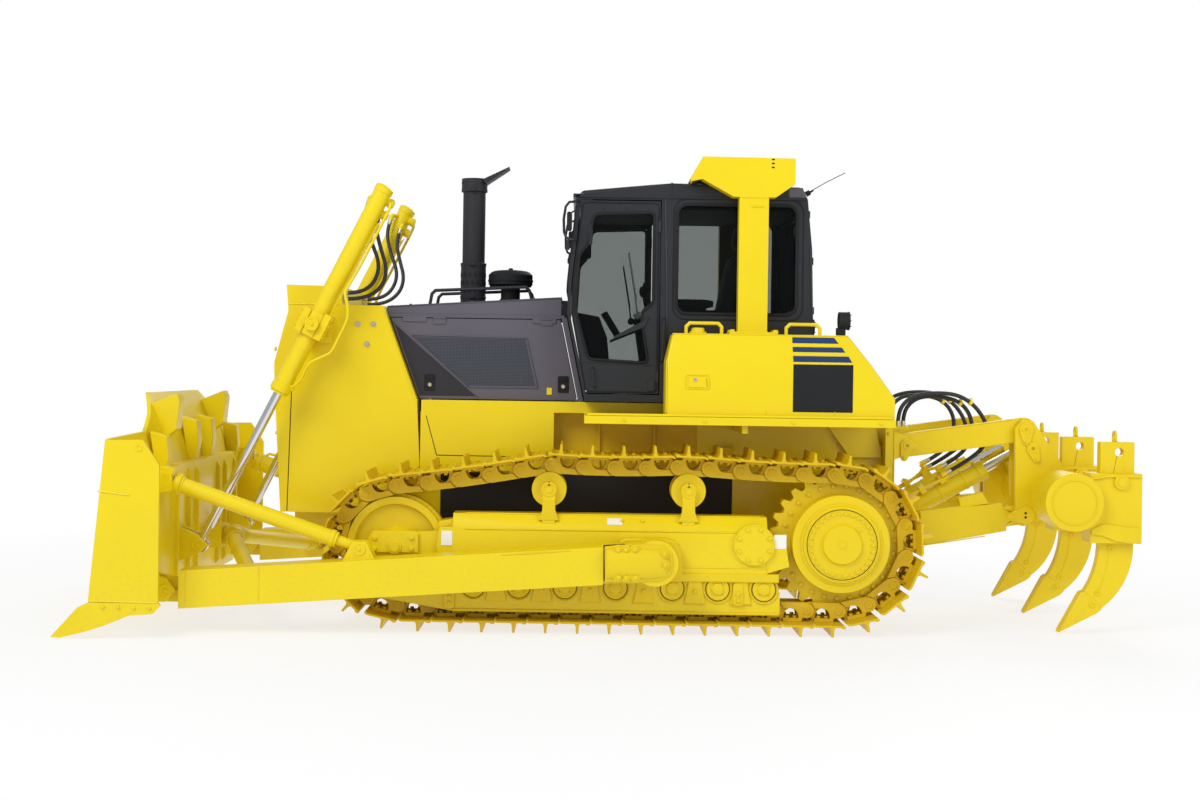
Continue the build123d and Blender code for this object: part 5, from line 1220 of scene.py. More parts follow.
guard_joint = (0.5995, 0.6012)
joints_work = Piece()
joints_work.plate([(2.303, 1.86), (2.309, 1.86), (2.336, 0.745), (2.33, 0.745)], *guard_joint)
joints_work.plate([(1.272, 1.161), (1.268, 1.155), (0.508, 1.152), (0.508, 1.157)], *guard_joint)
joints_work.plate([(1.345, 1.44), (1.35, 1.44), (1.272, 1.158), (1.266, 1.158)], *guard_joint)
joints_work.place("guard_joints", "tractor", "black_paint", soft_black, both=True)

guard_seam = 0.601
guard_beads = Piece()
guard_beads.tube([(1.43, guard_seam, 1.56), (1.66, guard_seam, 2.2)], 0.004, 8)
guard_beads.tube([(1.98, guard_seam, 2.224), (2.34, guard_seam, 2.224)], 0.005, 8)
for z in (1.0, 1.3, 1.6, 1.9):
    guard_beads.bolt((2.41 + (z - 1.0) * 0.03, 0.54, z), (1, 0, 0.05), 0.016)
for y in (0.2, 0.42):
    guard_beads.block((1.97, y - 0.03, 2.232), (2.05, y + 0.03, 2.33), 0.006)
for z in (2.266, 2.308):
    guard_beads.turned((2.0, 0.558, z), (-1, 0, 0), [(0, 0.02), (0.04, 0.02)], 6)
    guard_beads.tube([(2.0, 0.558, z), (2.06, 0.52, z), (2.2, 0.4, z)], 0.012, 10)
guard_beads.place("guard_welds", "tractor", "yellow_paint", yellow_enamel, both=True)

firewall = Piece()
firewall.plate([(0.22, 1.565), (0.252, 1.565), (0.384, 2.178), (0.384, 2.28), (0.352, 2.28), (0.352, 2.178)],
               -0.475, 0.475, 0.002)
firewall.place("firewall", "tractor", "black_paint", soft_black)
hood_work = Piece()
hood_work.tube([(1.64, 0.501, 2.148), (0.4, 0.501, 2.148)], 0.005, 8)
hood_work.plate([(1.65, 2.147), (0.392, 2.147), (0.392, 2.288), (1.65, 2.21)], 0.45, 0.488, 0.004)
for x in (1.45, 0.515):
    hood_work.plate(rounded(x - 0.085, 2.112, x + 0.085, 2.15, 0.006), 0.498, 0.509, 0.002)
for x in (1.5, 1.05, 0.6):
    hood_work.bolt((x, 0.3, 2.228 + (1.662 - x) * 0.0638), (0.06, 0, 1), 0.012)
hood_work.tube([(1.63, y, 2.2305) for y in (0.02, 0.2, 0.36)], 0.004, 8)
hood_work.place("hood_trim", "tractor", "hood_grey", hood_grey, both=True)
print("guard and hood trim ready")

# %% [markdown]
# The exhaust has a perforated heat sleeve with clamps, and the air intake's bowl stands on a ring of louvres.
# Both are round, so they come from turned profiles with slots repeated round them.

# %% Exhaust clamps and intake louvres
stack = (1.063, 0.0)
stack_work = Piece()
for z, radius in ((2.3, 0.097), (2.545, 0.097), (3.1, 0.098)):
    stack_work.turned((*stack, z), (0, 0, 1), [
        (0, radius - 0.004), (0.003, radius), (0.022, radius), (0.025, radius - 0.004), (0.025, 0.08), (0, 0.08)],
        40, hollow=True)
    stack_work.block((1.045, radius - 0.004, z + 0.001), (1.081, radius + 0.02, z + 0.024), 0.003)
    stack_work.bolt((1.081, radius + 0.01, z + 0.0125), (1, 0, 0), 0.008)
stack_work.tube([(1.15, -0.05, 3.165), (1.15, 0.05, 3.165)], 0.008, 10)
stack_work.place("stack_clamps", "tractor", "black_paint", stack_black)

slots = Piece()
for row, z in enumerate((2.36, 2.42, 2.48)):
    for number in range(14):
        angle = 2 * math.pi * (number + 0.5 * (row % 2)) / 14
        out_way = Vector((math.cos(angle), math.sin(angle), 0))
        across = Vector((-out_way.y, out_way.x, 0))
        centre = Vector((*stack, z)) + out_way * 0.0935
        corners = [centre + across * (0.012 * math.cos(a)) + Vector((0, 0, 0.018 * math.sin(a)))
                   for a in (2 * math.pi * n / 10 for n in range(10))]
        slots.slab(corners, out_way * 0.0016)
slots.place("sleeve_holes", "tractor", "black_paint", soft_black)

intake = (0.783, 0.0)
bowl = Piece()
bowl.turned((*intake, 2.513), (0, 0, 1),
            [(-0.03, 0.1655), (-0.006, 0.14), (0.004, 0.1), (0.008, 0.05), (0.009, 0.0)], 48)
bowl.turned((*intake, 2.43), (0, 0, 1), [(0, 0.164), (0.004, 0.17), (0.016, 0.17), (0.02, 0.164)], 48)
for number in range(32):
    angle = 2 * math.pi * number / 32
    out_way = Vector((math.cos(angle), math.sin(angle), 0))
    across = Vector((-out_way.y, out_way.x, 0))
    foot = Vector((*intake, 2.395)) + out_way * 0.1
    bowl.slab([foot, foot + out_way * 0.055, foot + out_way * 0.06 + Vector((0, 0, 0.02)), foot + Vector((0, 0, 0.02))],
              across * 0.006)
bowl.turned((*intake, 2.28), (0, 0, 1), [(0, 0.074), (0.004, 0.082), (0.02, 0.082), (0.024, 0.074)], 40)
bowl.turned((*intake, 2.52), (0, 0, 1), [(0, 0.018), (0.012, 0.018), (0.016, 0.012)], 6)
bowl.place("intake_bowl", "tractor", "black_paint", soft_black)
print("louvres:", 32)

# %% [markdown]
# ## Tanks and deck
# The tanks carry the only decoration: three dark blue bands on the creased shoulder, above a black panel. The
# panel stays blank. A filler door and beads along the seams finish them.

# %% Bands, panel and filler doors
def shoulder(x, z):
    """A point on the tank's sloping shoulder."""
    return (x, 1.15 - (z - 1.854) * 0.5376, z)


bands = Piece()
for low, high, rear_low, rear_high in ((1.987, 2.027, -1.5195, -1.4916), (1.926, 1.960, -1.5615, -1.5404),
                                       (1.8575, 1.898, -1.6037, -1.5826)):
    bands.slab([shoulder(-1.203, low), shoulder(rear_low, low), shoulder(rear_high, high), shoulder(-1.203, high)],
               (0, 0.0022, 0.0012))
bands.place("blue_bands", "tractor", None, stripe_blue, both=True)

tank_face, tank_seam = 1.1495, 1.1505
panel = Piece()
panel.plate([(-1.203, 1.516), (-1.203, 1.842), (-1.612, 1.842), (-1.612, 1.516)], tank_face, 1.1522, 0.0008)
panel.place("black_panel", "tractor", "black_paint", soft_black, both=True)

tank_work = Piece()
lock_edge = rounded(-0.63, 1.664, -0.47, 1.758, 0.01)
tank_work.tube([(x, tank_seam, z) for x, z in lock_edge], 0.005, 8, closed=True)
tank_work.plate(rounded(-0.612, 1.672, -0.488, 1.75, 0.008), tank_face, 1.156, 0.002)
tank_work.plate(rounded(-0.63, 1.685, -0.618, 1.738, 0.004), tank_face, 1.162, 0.002)
tank_work.tube([(-0.338, tank_seam, 1.5), (-0.338, tank_seam, 1.854)], 0.004, 8)
tank_work.tube([(-0.38, 1.052, 2.041), (-1.59, 1.052, 2.041)], 0.004, 8)
tank_work.tube([(-0.338, tank_seam, 1.4745), (-1.9, tank_seam, 1.4745)], 0.006, 8)
tank_work.turned((-0.56, 0.95, 2.04), (0, 0, 1), [
    (0, 0.062), (0.014, 0.062), (0.02, 0.056), (0.02, 0.048), (0.04, 0.046), (0.046, 0.04)], 32)
for x in (-0.795, -1.095):
    for y in (0.82, 1.0):
        tank_work.bolt((x, y, 2.06), (0, 0, 1), 0.021)
for x in (-1.8, -1.2, -0.6, -0.05):
    tank_work.bolt((x, 1.2, 1.445), (0, 1, 0), 0.013)
for x in (-1.49, -1.02):
    tank_work.tube([(x, tank_seam, 1.5), (x, tank_seam, 1.52)], 0.004, 8)
tank_work.plate([(0.2, 1.474), (0.2, 1.49), (-1.88, 1.49), (-1.88, 1.474)], 1.15, 1.198, 0.003)
tank_work.place("tank_trim", "tractor", "yellow_paint", yellow_enamel, both=True)

lock = Piece()
lock.turned((-0.535, 1.156, 1.725), (0, 1, 0), [(0, 0.013), (0.004, 0.013), (0.005, 0.005)], 20)
lock.place("filler_lock", "tractor", "chrome_rod", plated, both=True)

lamp_rims, lamp_lenses = Piece(), Piece()
lamp_place = (-1.61, 0.9, 2.15)
lamp_rims.turned(lamp_place, (-1, 0, 0), [
    (-0.004, 0.0635), (0.006, 0.066), (0.01, 0.062), (0.01, 0.056), (-0.004, 0.056)], 36, hollow=True)
lamp_lenses.turned(lamp_place, (-1, 0, 0), [(0.0, 0.056), (0.006, 0.052), (0.01, 0.03), (0.011, 0.0)], 36)
for z in (2.11, 2.15, 2.19):
    lamp_rims.tube([(-1.624, 0.84, z), (-1.624, 0.96, z)], 0.003, 8)
lamp_rims.place("rear_lamp_rims", "tractor", "black_paint", soft_black, both=True)
lamp_lenses.place("rear_lamp_lenses", "tractor", "lamp_glass", lens.material, both=True)
print("tank trim ready")

# %% [markdown]
# ## Ripper
# Every pin of the ripper is locked by a keeper plate, a flat drop-shaped plate over the pin's end with one bolt in
# its tail. The drop is the outline round two circles, which is drawn with two arcs.

# %% Keeper plates and pin caps
def drop_outline(x, z, radius, tail_x, tail_z, tail_radius):
    """Outline round a large circle and a small one at its tail."""
    way = Vector((tail_x, tail_z))
    lean = math.degrees(math.atan2(way.y, way.x))
    open_half = math.degrees(math.acos((radius - tail_radius) / way.length))
    big = arc((x, z), radius, lean + open_half, lean + 360 - open_half, 16)
    small = arc((x + tail_x, z + tail_z), tail_radius, lean - open_half, lean + open_half, 8)
    return big + small


def keeper(work, x, z, y, tail, radius=0.046):
    """Keeper plate over a pin, with the pin's end and the bolt in its tail."""
    work.plate(drop_outline(x, z, radius, *tail, 0.026), y - 0.002, y + 0.014, 0.003)
    cover(work, (x, z), y + 0.012, [(0, 0.03), (0.006, 0.028), (0.006, 0.014), (0.002, 0.012)], 24)
    work.bolt((x + tail[0], y + 0.014, z + tail[1]), (0, 1, 0), 0.015)


cheek_face = 0.564
mount_work = Piece()
keeper(mount_work, -2.096, 1.274, cheek_face, (0.018, -0.086))
keeper(mount_work, -2.104, 0.662, cheek_face, (0.018, -0.086))
mount_work.tube([(-2.001, 0.5905, 0.58), (-2.001, 0.5905, 1.41)], 0.005, 8)
for z in (0.72, 0.9, 1.08, 1.36):
    mount_work.bolt((-1.965, 0.5895, z), (0, 1, 0), 0.016)
mount_work.place("mount_keepers", "tractor", "yellow_paint", cast_enamel, both=True)

beam_work = Piece()
keeper(beam_work, -2.951, 1.4, cheek_face, (-0.004, -0.09), 0.052)
keeper(beam_work, -3.0, 1.265, cheek_face, (-0.03, -0.08), 0.046)
beam_work.plate(drop_outline(-2.959, 0.788, 0.064, 0.1, -0.012, 0.03), 0.562, 0.578, 0.004)
cover(beam_work, (-2.859, 0.776), 0.578, [(0, 0.018), (0.008, 0.016)], 20)
hoop(beam_work, (-3.153, 0.922), 1.098, 0.148, 0.158, 0.008, 72)
hoop(beam_work, (-3.153, 0.922), 1.094, 0.188, 0.199, 0.004, 72)
beam_work.mirror()
holes = Piece()
for z in (0.803, 0.773):
    cover(holes, (-2.953, z), 0.5775, [(0, 0.009), (0.0012, 0.009)], 16)
holes.place("keeper_holes", "ripper_beam", "black_paint", soft_black, both=True)
print("keeper plates a side:", 4)

# %% [markdown]
# Each shank sits in a holder and is held by a round pin. The holder is a casting that flares at its lower rear
# edge. The shank carries a lifting eye, a wear strip with two bolts and a separate point, pinned on.

# %% Holders, shanks and points
shank_work = Piece()
for y in (0.935, 0.0, -0.935):
    for side in (1, -1):
        face = y + side * 0.098
        low, high = sorted((face - side * 0.004, face + side * 0.014))
        beam_work.plate([(-3.285, 0.735), (-3.36, 0.775), (-3.44, 0.768), (-3.54, 0.752), (-3.632, 0.75),
                         (-3.632, 0.645), (-3.56, 0.64), (-3.45, 0.655), (-3.36, 0.69), (-3.285, 0.7)],
                        low, high, 0.005)
        beam_work.turned((-3.49, face, 1.0634), (0, side, 0),
                         [(0, 0.052), (0.02, 0.05), (0.02, 0.032), (0.028, 0.03)], 32)
        beam_work.plate([(-3.28, 1.09), (-3.4, 1.112), (-3.62, 1.112), (-3.62, 1.095), (-3.4, 1.095), (-3.28, 1.075)],
                        low, high, 0.003)
        near = y + side * 0.038
        for x, z, size in ((-3.439, 0.6, 0.022), (-3.353, 0.29, 0.02)):
            shank_work.turned((x, near, z), (0, side, 0), [(-0.002, size), (0.007, size * 0.96), (0.008, size * 0.6),
                                                          (0.002, size * 0.5)], 20)
        shank_work.tube([(-3.431, near, 0.58), (-3.412, near, 0.45), (-3.366, near, 0.315)], 0.0035, 8)
        low, high = sorted((near - side * 0.01, near + side * 0.009))
        shank_work.plate([(-3.258, 0.3), (-3.27, 0.29), (-3.335, 0.248), (-3.386, 0.178), (-3.352, 0.149),
                          (-3.095, 0.016), (-3.092, 0.025), (-3.235, 0.288)], low, high, 0.005)
        shank_work.turned((-3.318, high if side > 0 else low, 0.2085), (0, side, 0), [
            (-0.002, 0.022), (0.005, 0.021), (0.006, 0.012), (0.001, 0.01)], 20)
    ring = [(-3.469, y + 0.03 * math.cos(a), 1.372 + 0.036 * math.sin(a)) for a in (
        2 * math.pi * n / 20 for n in range(20))]
    shank_work.tube(ring, 0.0095, 10, closed=True)
    shank_work.turned((-3.469, y, 1.334), (0, 0, 1), [(0, 0.022), (0.008, 0.02), (0.014, 0.014)], 20)
beam_work.place("beam_trim", "ripper_beam", "yellow_paint", cast_enamel)
shank_work.place("shank_trim", "ripper_beam", "yellow_paint", cast_enamel)
print("shanks:", 3)

# %% [markdown]
# The lower arms have a box gusset on top, and the cylinders carry their own steel pipes, clamps and plated hose
# nuts. As with the lift cylinders, points are given along and off the cylinder's middle line.

# %% Arm gussets, cylinder pipes and nuts
arm_work = Piece()
arm_work.plate([(-2.485, 0.9), (-2.66, 0.944), (-2.71, 0.86), (-2.5, 0.83)], 0.436, 0.508, 0.006)
arm_work.plate([(-2.2, 0.79), (-2.205, 0.8), (-2.66, 0.866), (-2.66, 0.855)], 0.4, 0.511, 0.003)
arm_work.tube([(-2.21, 0.511, 0.552), (-2.42, 0.511, 0.585), (-2.68, 0.511, 0.629)], 0.004, 8)
arm_work.place("arm_gussets", "ripper_arm", "yellow_paint", cast_enamel, both=True)
link_work = Piece()
link_work.tube([(-2.18, 0.511, 1.37), (-2.86, 0.511, 1.47)], 0.004, 8)
link_work.tube([(-2.18, 0.511, 1.204), (-2.86, 0.511, 1.304)], 0.004, 8)
link_work.place("link_welds", "ripper_links", "yellow_paint", cast_enamel, both=True)


def on_ripper(along, off, y=0.25):
    """A point of the left ripper cylinder, from its own axes."""
    spot = base + out * along + above * off
    return Vector((spot.x, y, spot.y))


barrel_way = Vector((out.x, 0, out.y))
cylinder_work = Piece()
for reach, radius, wide in ((0.08, 0.078, 0.03), (0.68, 0.077, 0.06), (0.36, 0.0745, 0.03), (0.56, 0.0745, 0.02)):
    cylinder_work.turned(on_ripper(reach, 0), barrel_way, [
        (0, radius - 0.004), (0.003, radius), (wide, radius), (wide + 0.003, radius - 0.004)], 36)
for y, height, along, off, inwards in ((0.3, 0.17, 0.2, 0.09, 0.92), (0.345, 0.12, 0.14, 0.092, 0.93)):
    cylinder_work.tube([
        on_ripper(0.47, height * 0.75, y), on_ripper(0.44, height * 0.72, y), on_ripper(0.3, 0.095, y * 0.95),
        on_ripper(along, off, y * inwards), on_ripper(0.12, 0.06, 0.27)], 0.0115, 10)
cylinder_work.tube([on_ripper(0.44, 0.115, 0.27), on_ripper(0.5, 0.1, 0.26), on_ripper(0.66, 0.1, 0.26),
                    on_ripper(0.7, 0.065, 0.25)], 0.0115, 10)
for reach in (0.24, 0.4):
    cylinder_work.slab([on_ripper(reach, 0.06, 0.24), on_ripper(reach + 0.04, 0.06, 0.24),
                        on_ripper(reach + 0.04, 0.125, 0.24), on_ripper(reach, 0.125, 0.24)], (0, 0.1, 0))
    for y in (0.265, 0.315):
        cylinder_work.bolt(on_ripper(reach + 0.02, 0.125, y), Vector((above.x, 0, above.y)), 0.012)
cylinder_work.place("ripper_barrel_trim", "ripper_barrels", "yellow_paint", yellow_enamel, both=True)

barrel_nuts, shelf_nuts = Piece(), Piece()
for route in ripper_routes:
    points = spline_points(route)
    hose_nut(shelf_nuts, points[0], points[2], 0.015)
    hose_nut(barrel_nuts, points[-1], points[-3], 0.015)
barrel_nuts.place("ripper_nuts_barrel", "ripper_barrels", "chrome_rod", plated, both=True)
shelf_nuts.place("ripper_nuts_shelf", "tractor", "chrome_rod", plated, both=True)

for number, route in enumerate(ripper_routes):
    for side, sign in both_sides:
        points = [Vector((p[0], p[1] * sign, p[2])) for p in spline_points(route)]
        spot = round(len(points) * 0.56)
        way = (points[spot + 1] - points[spot]).normalized()
        band = Piece()
        band.turned(points[spot] - way * 0.011, way,
                    [(0, 0.0155), (0, 0.02), (0.022, 0.02), (0.022, 0.0155)], 16, hollow=True)
        band.block(points[spot] + Vector((-0.01, -0.01, 0.016)), points[spot] + Vector((0.01, 0.01, 0.034)), 0.003)
        piece = band.place(f"hose_clamp_{side}_{number + 1}", None, "yellow_paint", yellow_enamel)
        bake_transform(piece)
print("ripper trim ready")

# %% [markdown]
# ## Cab
# A cab is mostly edges: rubber seals round every pane, a rain gutter, rails and a mirror bracket. Seals are round
# tubes that follow the window outlines. The front and rear of the cab are bent, so their seals read the bend from
# the same corner points as the cab's side outline.

# %% Seals round the panes
front_bend = [(0.351, 2.178), (0.343, 2.433), (0.311, 2.726), (0.285, 3.01)]
rear_bend = [(-1.387, 2.173), (-1.374, 2.653), (-1.338, 3.01)]


def bend_x(bend, z):
    """X of a bent face at one height."""
    for (low_x, low_z), (high_x, high_z) in zip(bend, bend[1:]):
        if z <= high_z:
            return low_x + (z - low_z) / (high_z - low_z) * (high_x - low_x)
    return bend[-1][0]


def across_seal(work, bend, half, low, high, lift):
    """A seal round a pane in the cab's front or rear."""
    edge = rounded(-half, low, half, high, 0.06, 5)
    loop = []
    for (y0, z0), (y1, z1) in zip(edge, edge[1:] + edge[:1]):
        loop += [(y0 + (y1 - y0) * t / 4, z0 + (z1 - z0) * t / 4) for t in range(4)]
    work.tube([(bend_x(bend, z) + lift, y, z) for y, z in loop], 0.011, 8, closed=True)


door_window = [(0.17, 2.884), (-0.258, 2.9), (-0.26, 2.262), (-0.171, 2.197), (-0.226, 1.837), (0.198, 1.859),
               (0.292, 2.204), (0.27, 2.607), (0.209, 2.657)]


def eased_loop(points, radius=0.03):
    """A closed outline with its corners cut to short curves."""
    loop = []
    for before, corner, after in zip(points[-1:] + points[:-1], points, points[1:] + points[:1]):
        one, two, three = Vector(before), Vector(corner), Vector(after)
        first = two + (one - two).normalized() * radius
        last = two + (three - two).normalized() * radius
        loop += [tuple(first.lerp(two, t).lerp(two.lerp(last, t), t)) for t in (0, 0.33, 0.67, 1)]
    return loop


cab_seam = 0.7505
seals = Piece()
seals.tube([(x, cab_seam, z) for x, z in rounded(-1.265, 2.19, -0.42, 2.96, 0.07, 6)], 0.012, 8, closed=True)
seals.tube([(x, cab_seam, z) for x, z in rounded(-1.31, 2.15, -0.395, 3.0, 0.09, 6)], 0.005, 8, closed=True)
seals.mirror()
across_seal(seals, front_bend, 0.64, 2.34, 2.95, 0.002)
across_seal(seals, rear_bend, 0.6, 2.25, 2.93, -0.002)
seals.place("window_seals", "tractor", "black_paint", soft_black)
for side, sign in both_sides:
    seal = Piece()
    seal.tube([(x, cab_seam * sign, z) for x, z in eased_loop(door_window, 0.04)], 0.011, 8, closed=True)
    edge = [(-0.288, 2.965), (0.248, 2.965), (0.274, 2.726), (0.306, 2.433), (0.314, 2.178), (0.21, 1.63),
            (-0.288, 1.63)]
    seal.tube([(x, 0.7495 * sign, z) for x, z in eased_loop(edge, 0.03)], 0.006, 8, closed=True)
    seal.place("door_seals_" + side, "cab_door_" + side, "black_paint", soft_black)
print("seals:", 6)

# %% [markdown]
# The door carries a wiper, a latch, a pull and a small vent box. The rail behind it and the tube at the front
# corner are what an operator holds when climbing in, so they stand off the cab on short feet.

# %% Door fittings, rails, mirror and antenna
for side, sign in both_sides:
    fittings = Piece()
    fittings.plate(rounded(0.178, 2.665, 0.212, 2.81, 0.014), 0.748, 0.76, 0.003)
    fittings.tube([(-0.146, 0.765, 2.173), (-0.13, 0.772, 2.3), (-0.08, 0.766, 2.6)], 0.006, 8)
    fittings.plate([(-0.142, 2.28), (-0.134, 2.28), (-0.076, 2.615), (-0.084, 2.615)], 0.758, 0.768, 0.002)
    cover(fittings, (-0.146, 2.173), 0.749, [(0, 0.028), (0.012, 0.026), (0.018, 0.016)], 20)
    fittings.plate(rounded(-0.275, 1.64, -0.225, 1.72, 0.012), 0.748, 0.764, 0.003)
    fittings.plate([(-0.23, 2.165), (-0.18, 2.13), (0.02, 2.02), (0.02, 2.0), (-0.2, 2.09)], 0.748, 0.762, 0.003)
    fittings.tube([(0.15, 0.752, 1.66), (0.15, 0.782, 1.67), (0.165, 0.782, 1.79), (0.165, 0.752, 1.8)], 0.008, 10)
    fittings.tube([(0.25, cab_seam, 1.84), (-0.28, cab_seam, 1.82)], 0.005, 8)
    for x in (-0.06, -0.21, 0.1):
        fittings.bolt((x, cab_seam, 2.925), (0, 1, 0), 0.008)
    fittings.flip(sign)
    fittings.place("door_fittings_" + side, "cab_door_" + side, "black_paint", cab_black)

cab_work = Piece()
grip = [(0.275, 0.755, 2.97), (0.3, 0.785, 2.966), (0.345, 0.79, 2.962), (0.37, 0.79, 2.93), (0.383, 0.79, 2.843),
        (0.38, 0.79, 2.75), (0.366, 0.79, 2.715), (0.335, 0.785, 2.699), (0.3, 0.755, 2.699)]
cab_work.tube(grip, 0.0095, 10)
cab_work.tube([(-0.334, 0.752, 2.15), (-0.334, 0.79, 2.145), (-0.321, 0.79, 1.855), (-0.321, 0.752, 1.85)], 0.01, 10)
cab_work.tube([(0.35, 0.785, 2.7), (0.356, 0.785, 2.66), (0.35, 0.785, 2.63)], 0.007, 8)
cab_work.plate(rounded(0.338, 2.625, 0.366, 2.67, 0.008), 0.772, 0.8, 0.003)
cab_work.block((-1.33, 0.742, 3.0), (0.3, 0.762, 3.018), 0.003)
cab_work.block((0.27, 0.0, 3.0), (0.318, 0.762, 3.026), 0.004)
cab_work.plate([(-0.38, 3.02), (-0.368, 3.02), (-0.372, 3.112), (-0.384, 3.112)], 0.66, 0.754, 0.002)
cab_work.tube([(x, cab_seam, z) for x, z in ((-0.33, 3.0), (-0.345, 2.5), (-0.36, 1.6))], 0.006, 8)
cab_work.tube([(-1.375, 0.752, 1.6), (-1.38, 0.752, 2.17), (-1.36, 0.752, 2.66)], 0.006, 8)
for z in (2.2, 2.55, 2.88):
    face = bend_x(rear_bend, z + 0.025)
    cab_work.block((face - 0.012, 0.66, z), (face + 0.012, 0.72, z + 0.05), 0.004)
for x in (-0.5, -0.9):
    cab_work.tube([(x, 0.2, 3.112), (x, 0.6, 3.108)], 0.008, 8)
cab_work.place("cab_trim", "tractor", "black_paint", cab_black, both=True)

mirror_work = Piece()
mirror_work.tube([(0.31, 0.785, 2.9), (0.335, 0.83, 2.88), (0.34, 0.85, 2.85)], 0.006, 8)
mirror_work.plate(rounded(0.325, 2.755, 0.36, 2.885, 0.014), 0.8, 0.9, 0.006)
mirror_work.place("mirror_backs", "tractor", "black_paint", soft_black, both=True)
reflector = Piece()
reflector.slab([(0.3245, y, z) for y, z in ((0.81, 2.77), (0.89, 2.77), (0.89, 2.87), (0.81, 2.87))], (-0.0015, 0, 0))
reflector.place("mirror_faces", "tractor", None, mirror_glass, both=True)

pod = Piece()
pod.plate([(-1.336, 3.012), (-1.2, 3.012), (-1.196, 3.088), (-1.3, 3.09)], 0.55, 0.757, 0.008)
pod.place("roof_pods", "tractor", "hood_grey", hood_grey, both=True)

antenna = Piece()
antenna.turned((-1.345, 0.6, 3.06), (-0.6, 0, 0.35), [(0, 0.02), (0.03, 0.018), (0.034, 0.008), (0.06, 0.006)], 20)
antenna.tube([(-1.35, 0.6, 3.068), (-1.49, 0.6, 3.15), (-1.62, 0.6, 3.217)], 0.0028, 8)
antenna.place("antenna", "tractor", "black_paint", soft_black)
print("cab fittings ready")

# %% [markdown]
# The roll-over frame's beam has a sloping front plate, three slots at the rear of each cheek and a weld pad on
# each post, and its posts are welded into their feet. Plates under the deck and beside the belly close the view
# into the machine, above and behind the tracks. Their colour is painted shade: a darker, browner yellow under the
# deck, and near black beside the belly where the machine lies in deep shadow.

# %% Roll-over frame and closing plates
frame_work = Piece()
frame_work.plate([(-0.588, 3.262), (-0.576, 3.27), (-0.497, 3.122), (-0.51, 3.115)], -0.9, 0.9, 0.002)
for low, high in ((0.888, 0.903), (-0.903, -0.888)):
    frame_work.plate([(-0.588, 3.262), (-0.576, 3.27), (-0.497, 3.108), (-0.586, 3.125)], low, high, 0.002)
for sign in (1, -1):
    face = 0.9005 * sign
    frame_work.tube([(-0.93, face, 2.94), (-1.01, face, 2.94)], 0.008, 8)
    frame_work.tube([(-0.842, face, 3.003), (-1.047, face, 3.003)], 0.006, 8)
    frame_work.tube([(-0.842, face, 2.062), (-1.047, face, 2.062)], 0.008, 8)
    for x in (-0.842, -1.047):
        frame_work.tube([(x, 0.78 * sign, 2.062), (x, face, 2.062)], 0.008, 8)
frame_work.place("rollover_welds", "tractor", "yellow_paint", yellow_enamel)
slots = Piece()
for z in (3.268, 3.24, 3.212):
    slots.plate(rounded(-1.083, z - 0.0055, -1.063, z + 0.0055, 0.004), 0.904, 0.9062)
slots.place("rollover_slots", "tractor", "black_paint", soft_black, both=True)

# Painted shade: these plates wear the darker, browner chain yellow because this part of the frame lies in shadow.
under = Piece()
under.plate([(-0.62, 1.04), (1.36, 1.04), (1.36, 1.475), (-0.62, 1.475)], 0.43, 0.444, 0.003)
for x in (-0.3, 0.1, 0.5, 0.9):
    under.plate([(x, 1.06), (x + 0.02, 1.06), (x + 0.02, 1.46), (x, 1.46)], 0.444, 0.47, 0.002)
under.plate([(-0.86, 1.07), (-0.72, 1.07), (-0.72, 1.24), (-0.86, 1.24)], 0.45, 0.5, 0.006)
under.place("under_deck_shade_plates", "tractor", "yellow_paint", shaded_chain_enamel, both=True)
# Painted shade: a near-black sheet stands for the deep shadow behind the tracks' upper run.
belly = Piece()
belly.plate([(-0.86, 0.56), (1.25, 0.56), (1.25, 1.03), (-0.86, 1.03)], 0.449, 0.453, 0.001)
belly.place("belly_shade_plates", "tractor", "black_paint", stack_black, both=True)
print("roll-over frame details ready")

# %% [markdown]
# ## Inside the cab
# Through the panes the eye catches a seat, two arm consoles with levers and a dashboard. The seat's cushions are
# padded cloth: each starts as a crowned box with sides that pull in, a cloth simulation with inner pressure swells
# it between its edges, and sewn channels are pressed in afterwards, where a quilted seat has them.

# %% Padded cushions
cloth_frames = 14


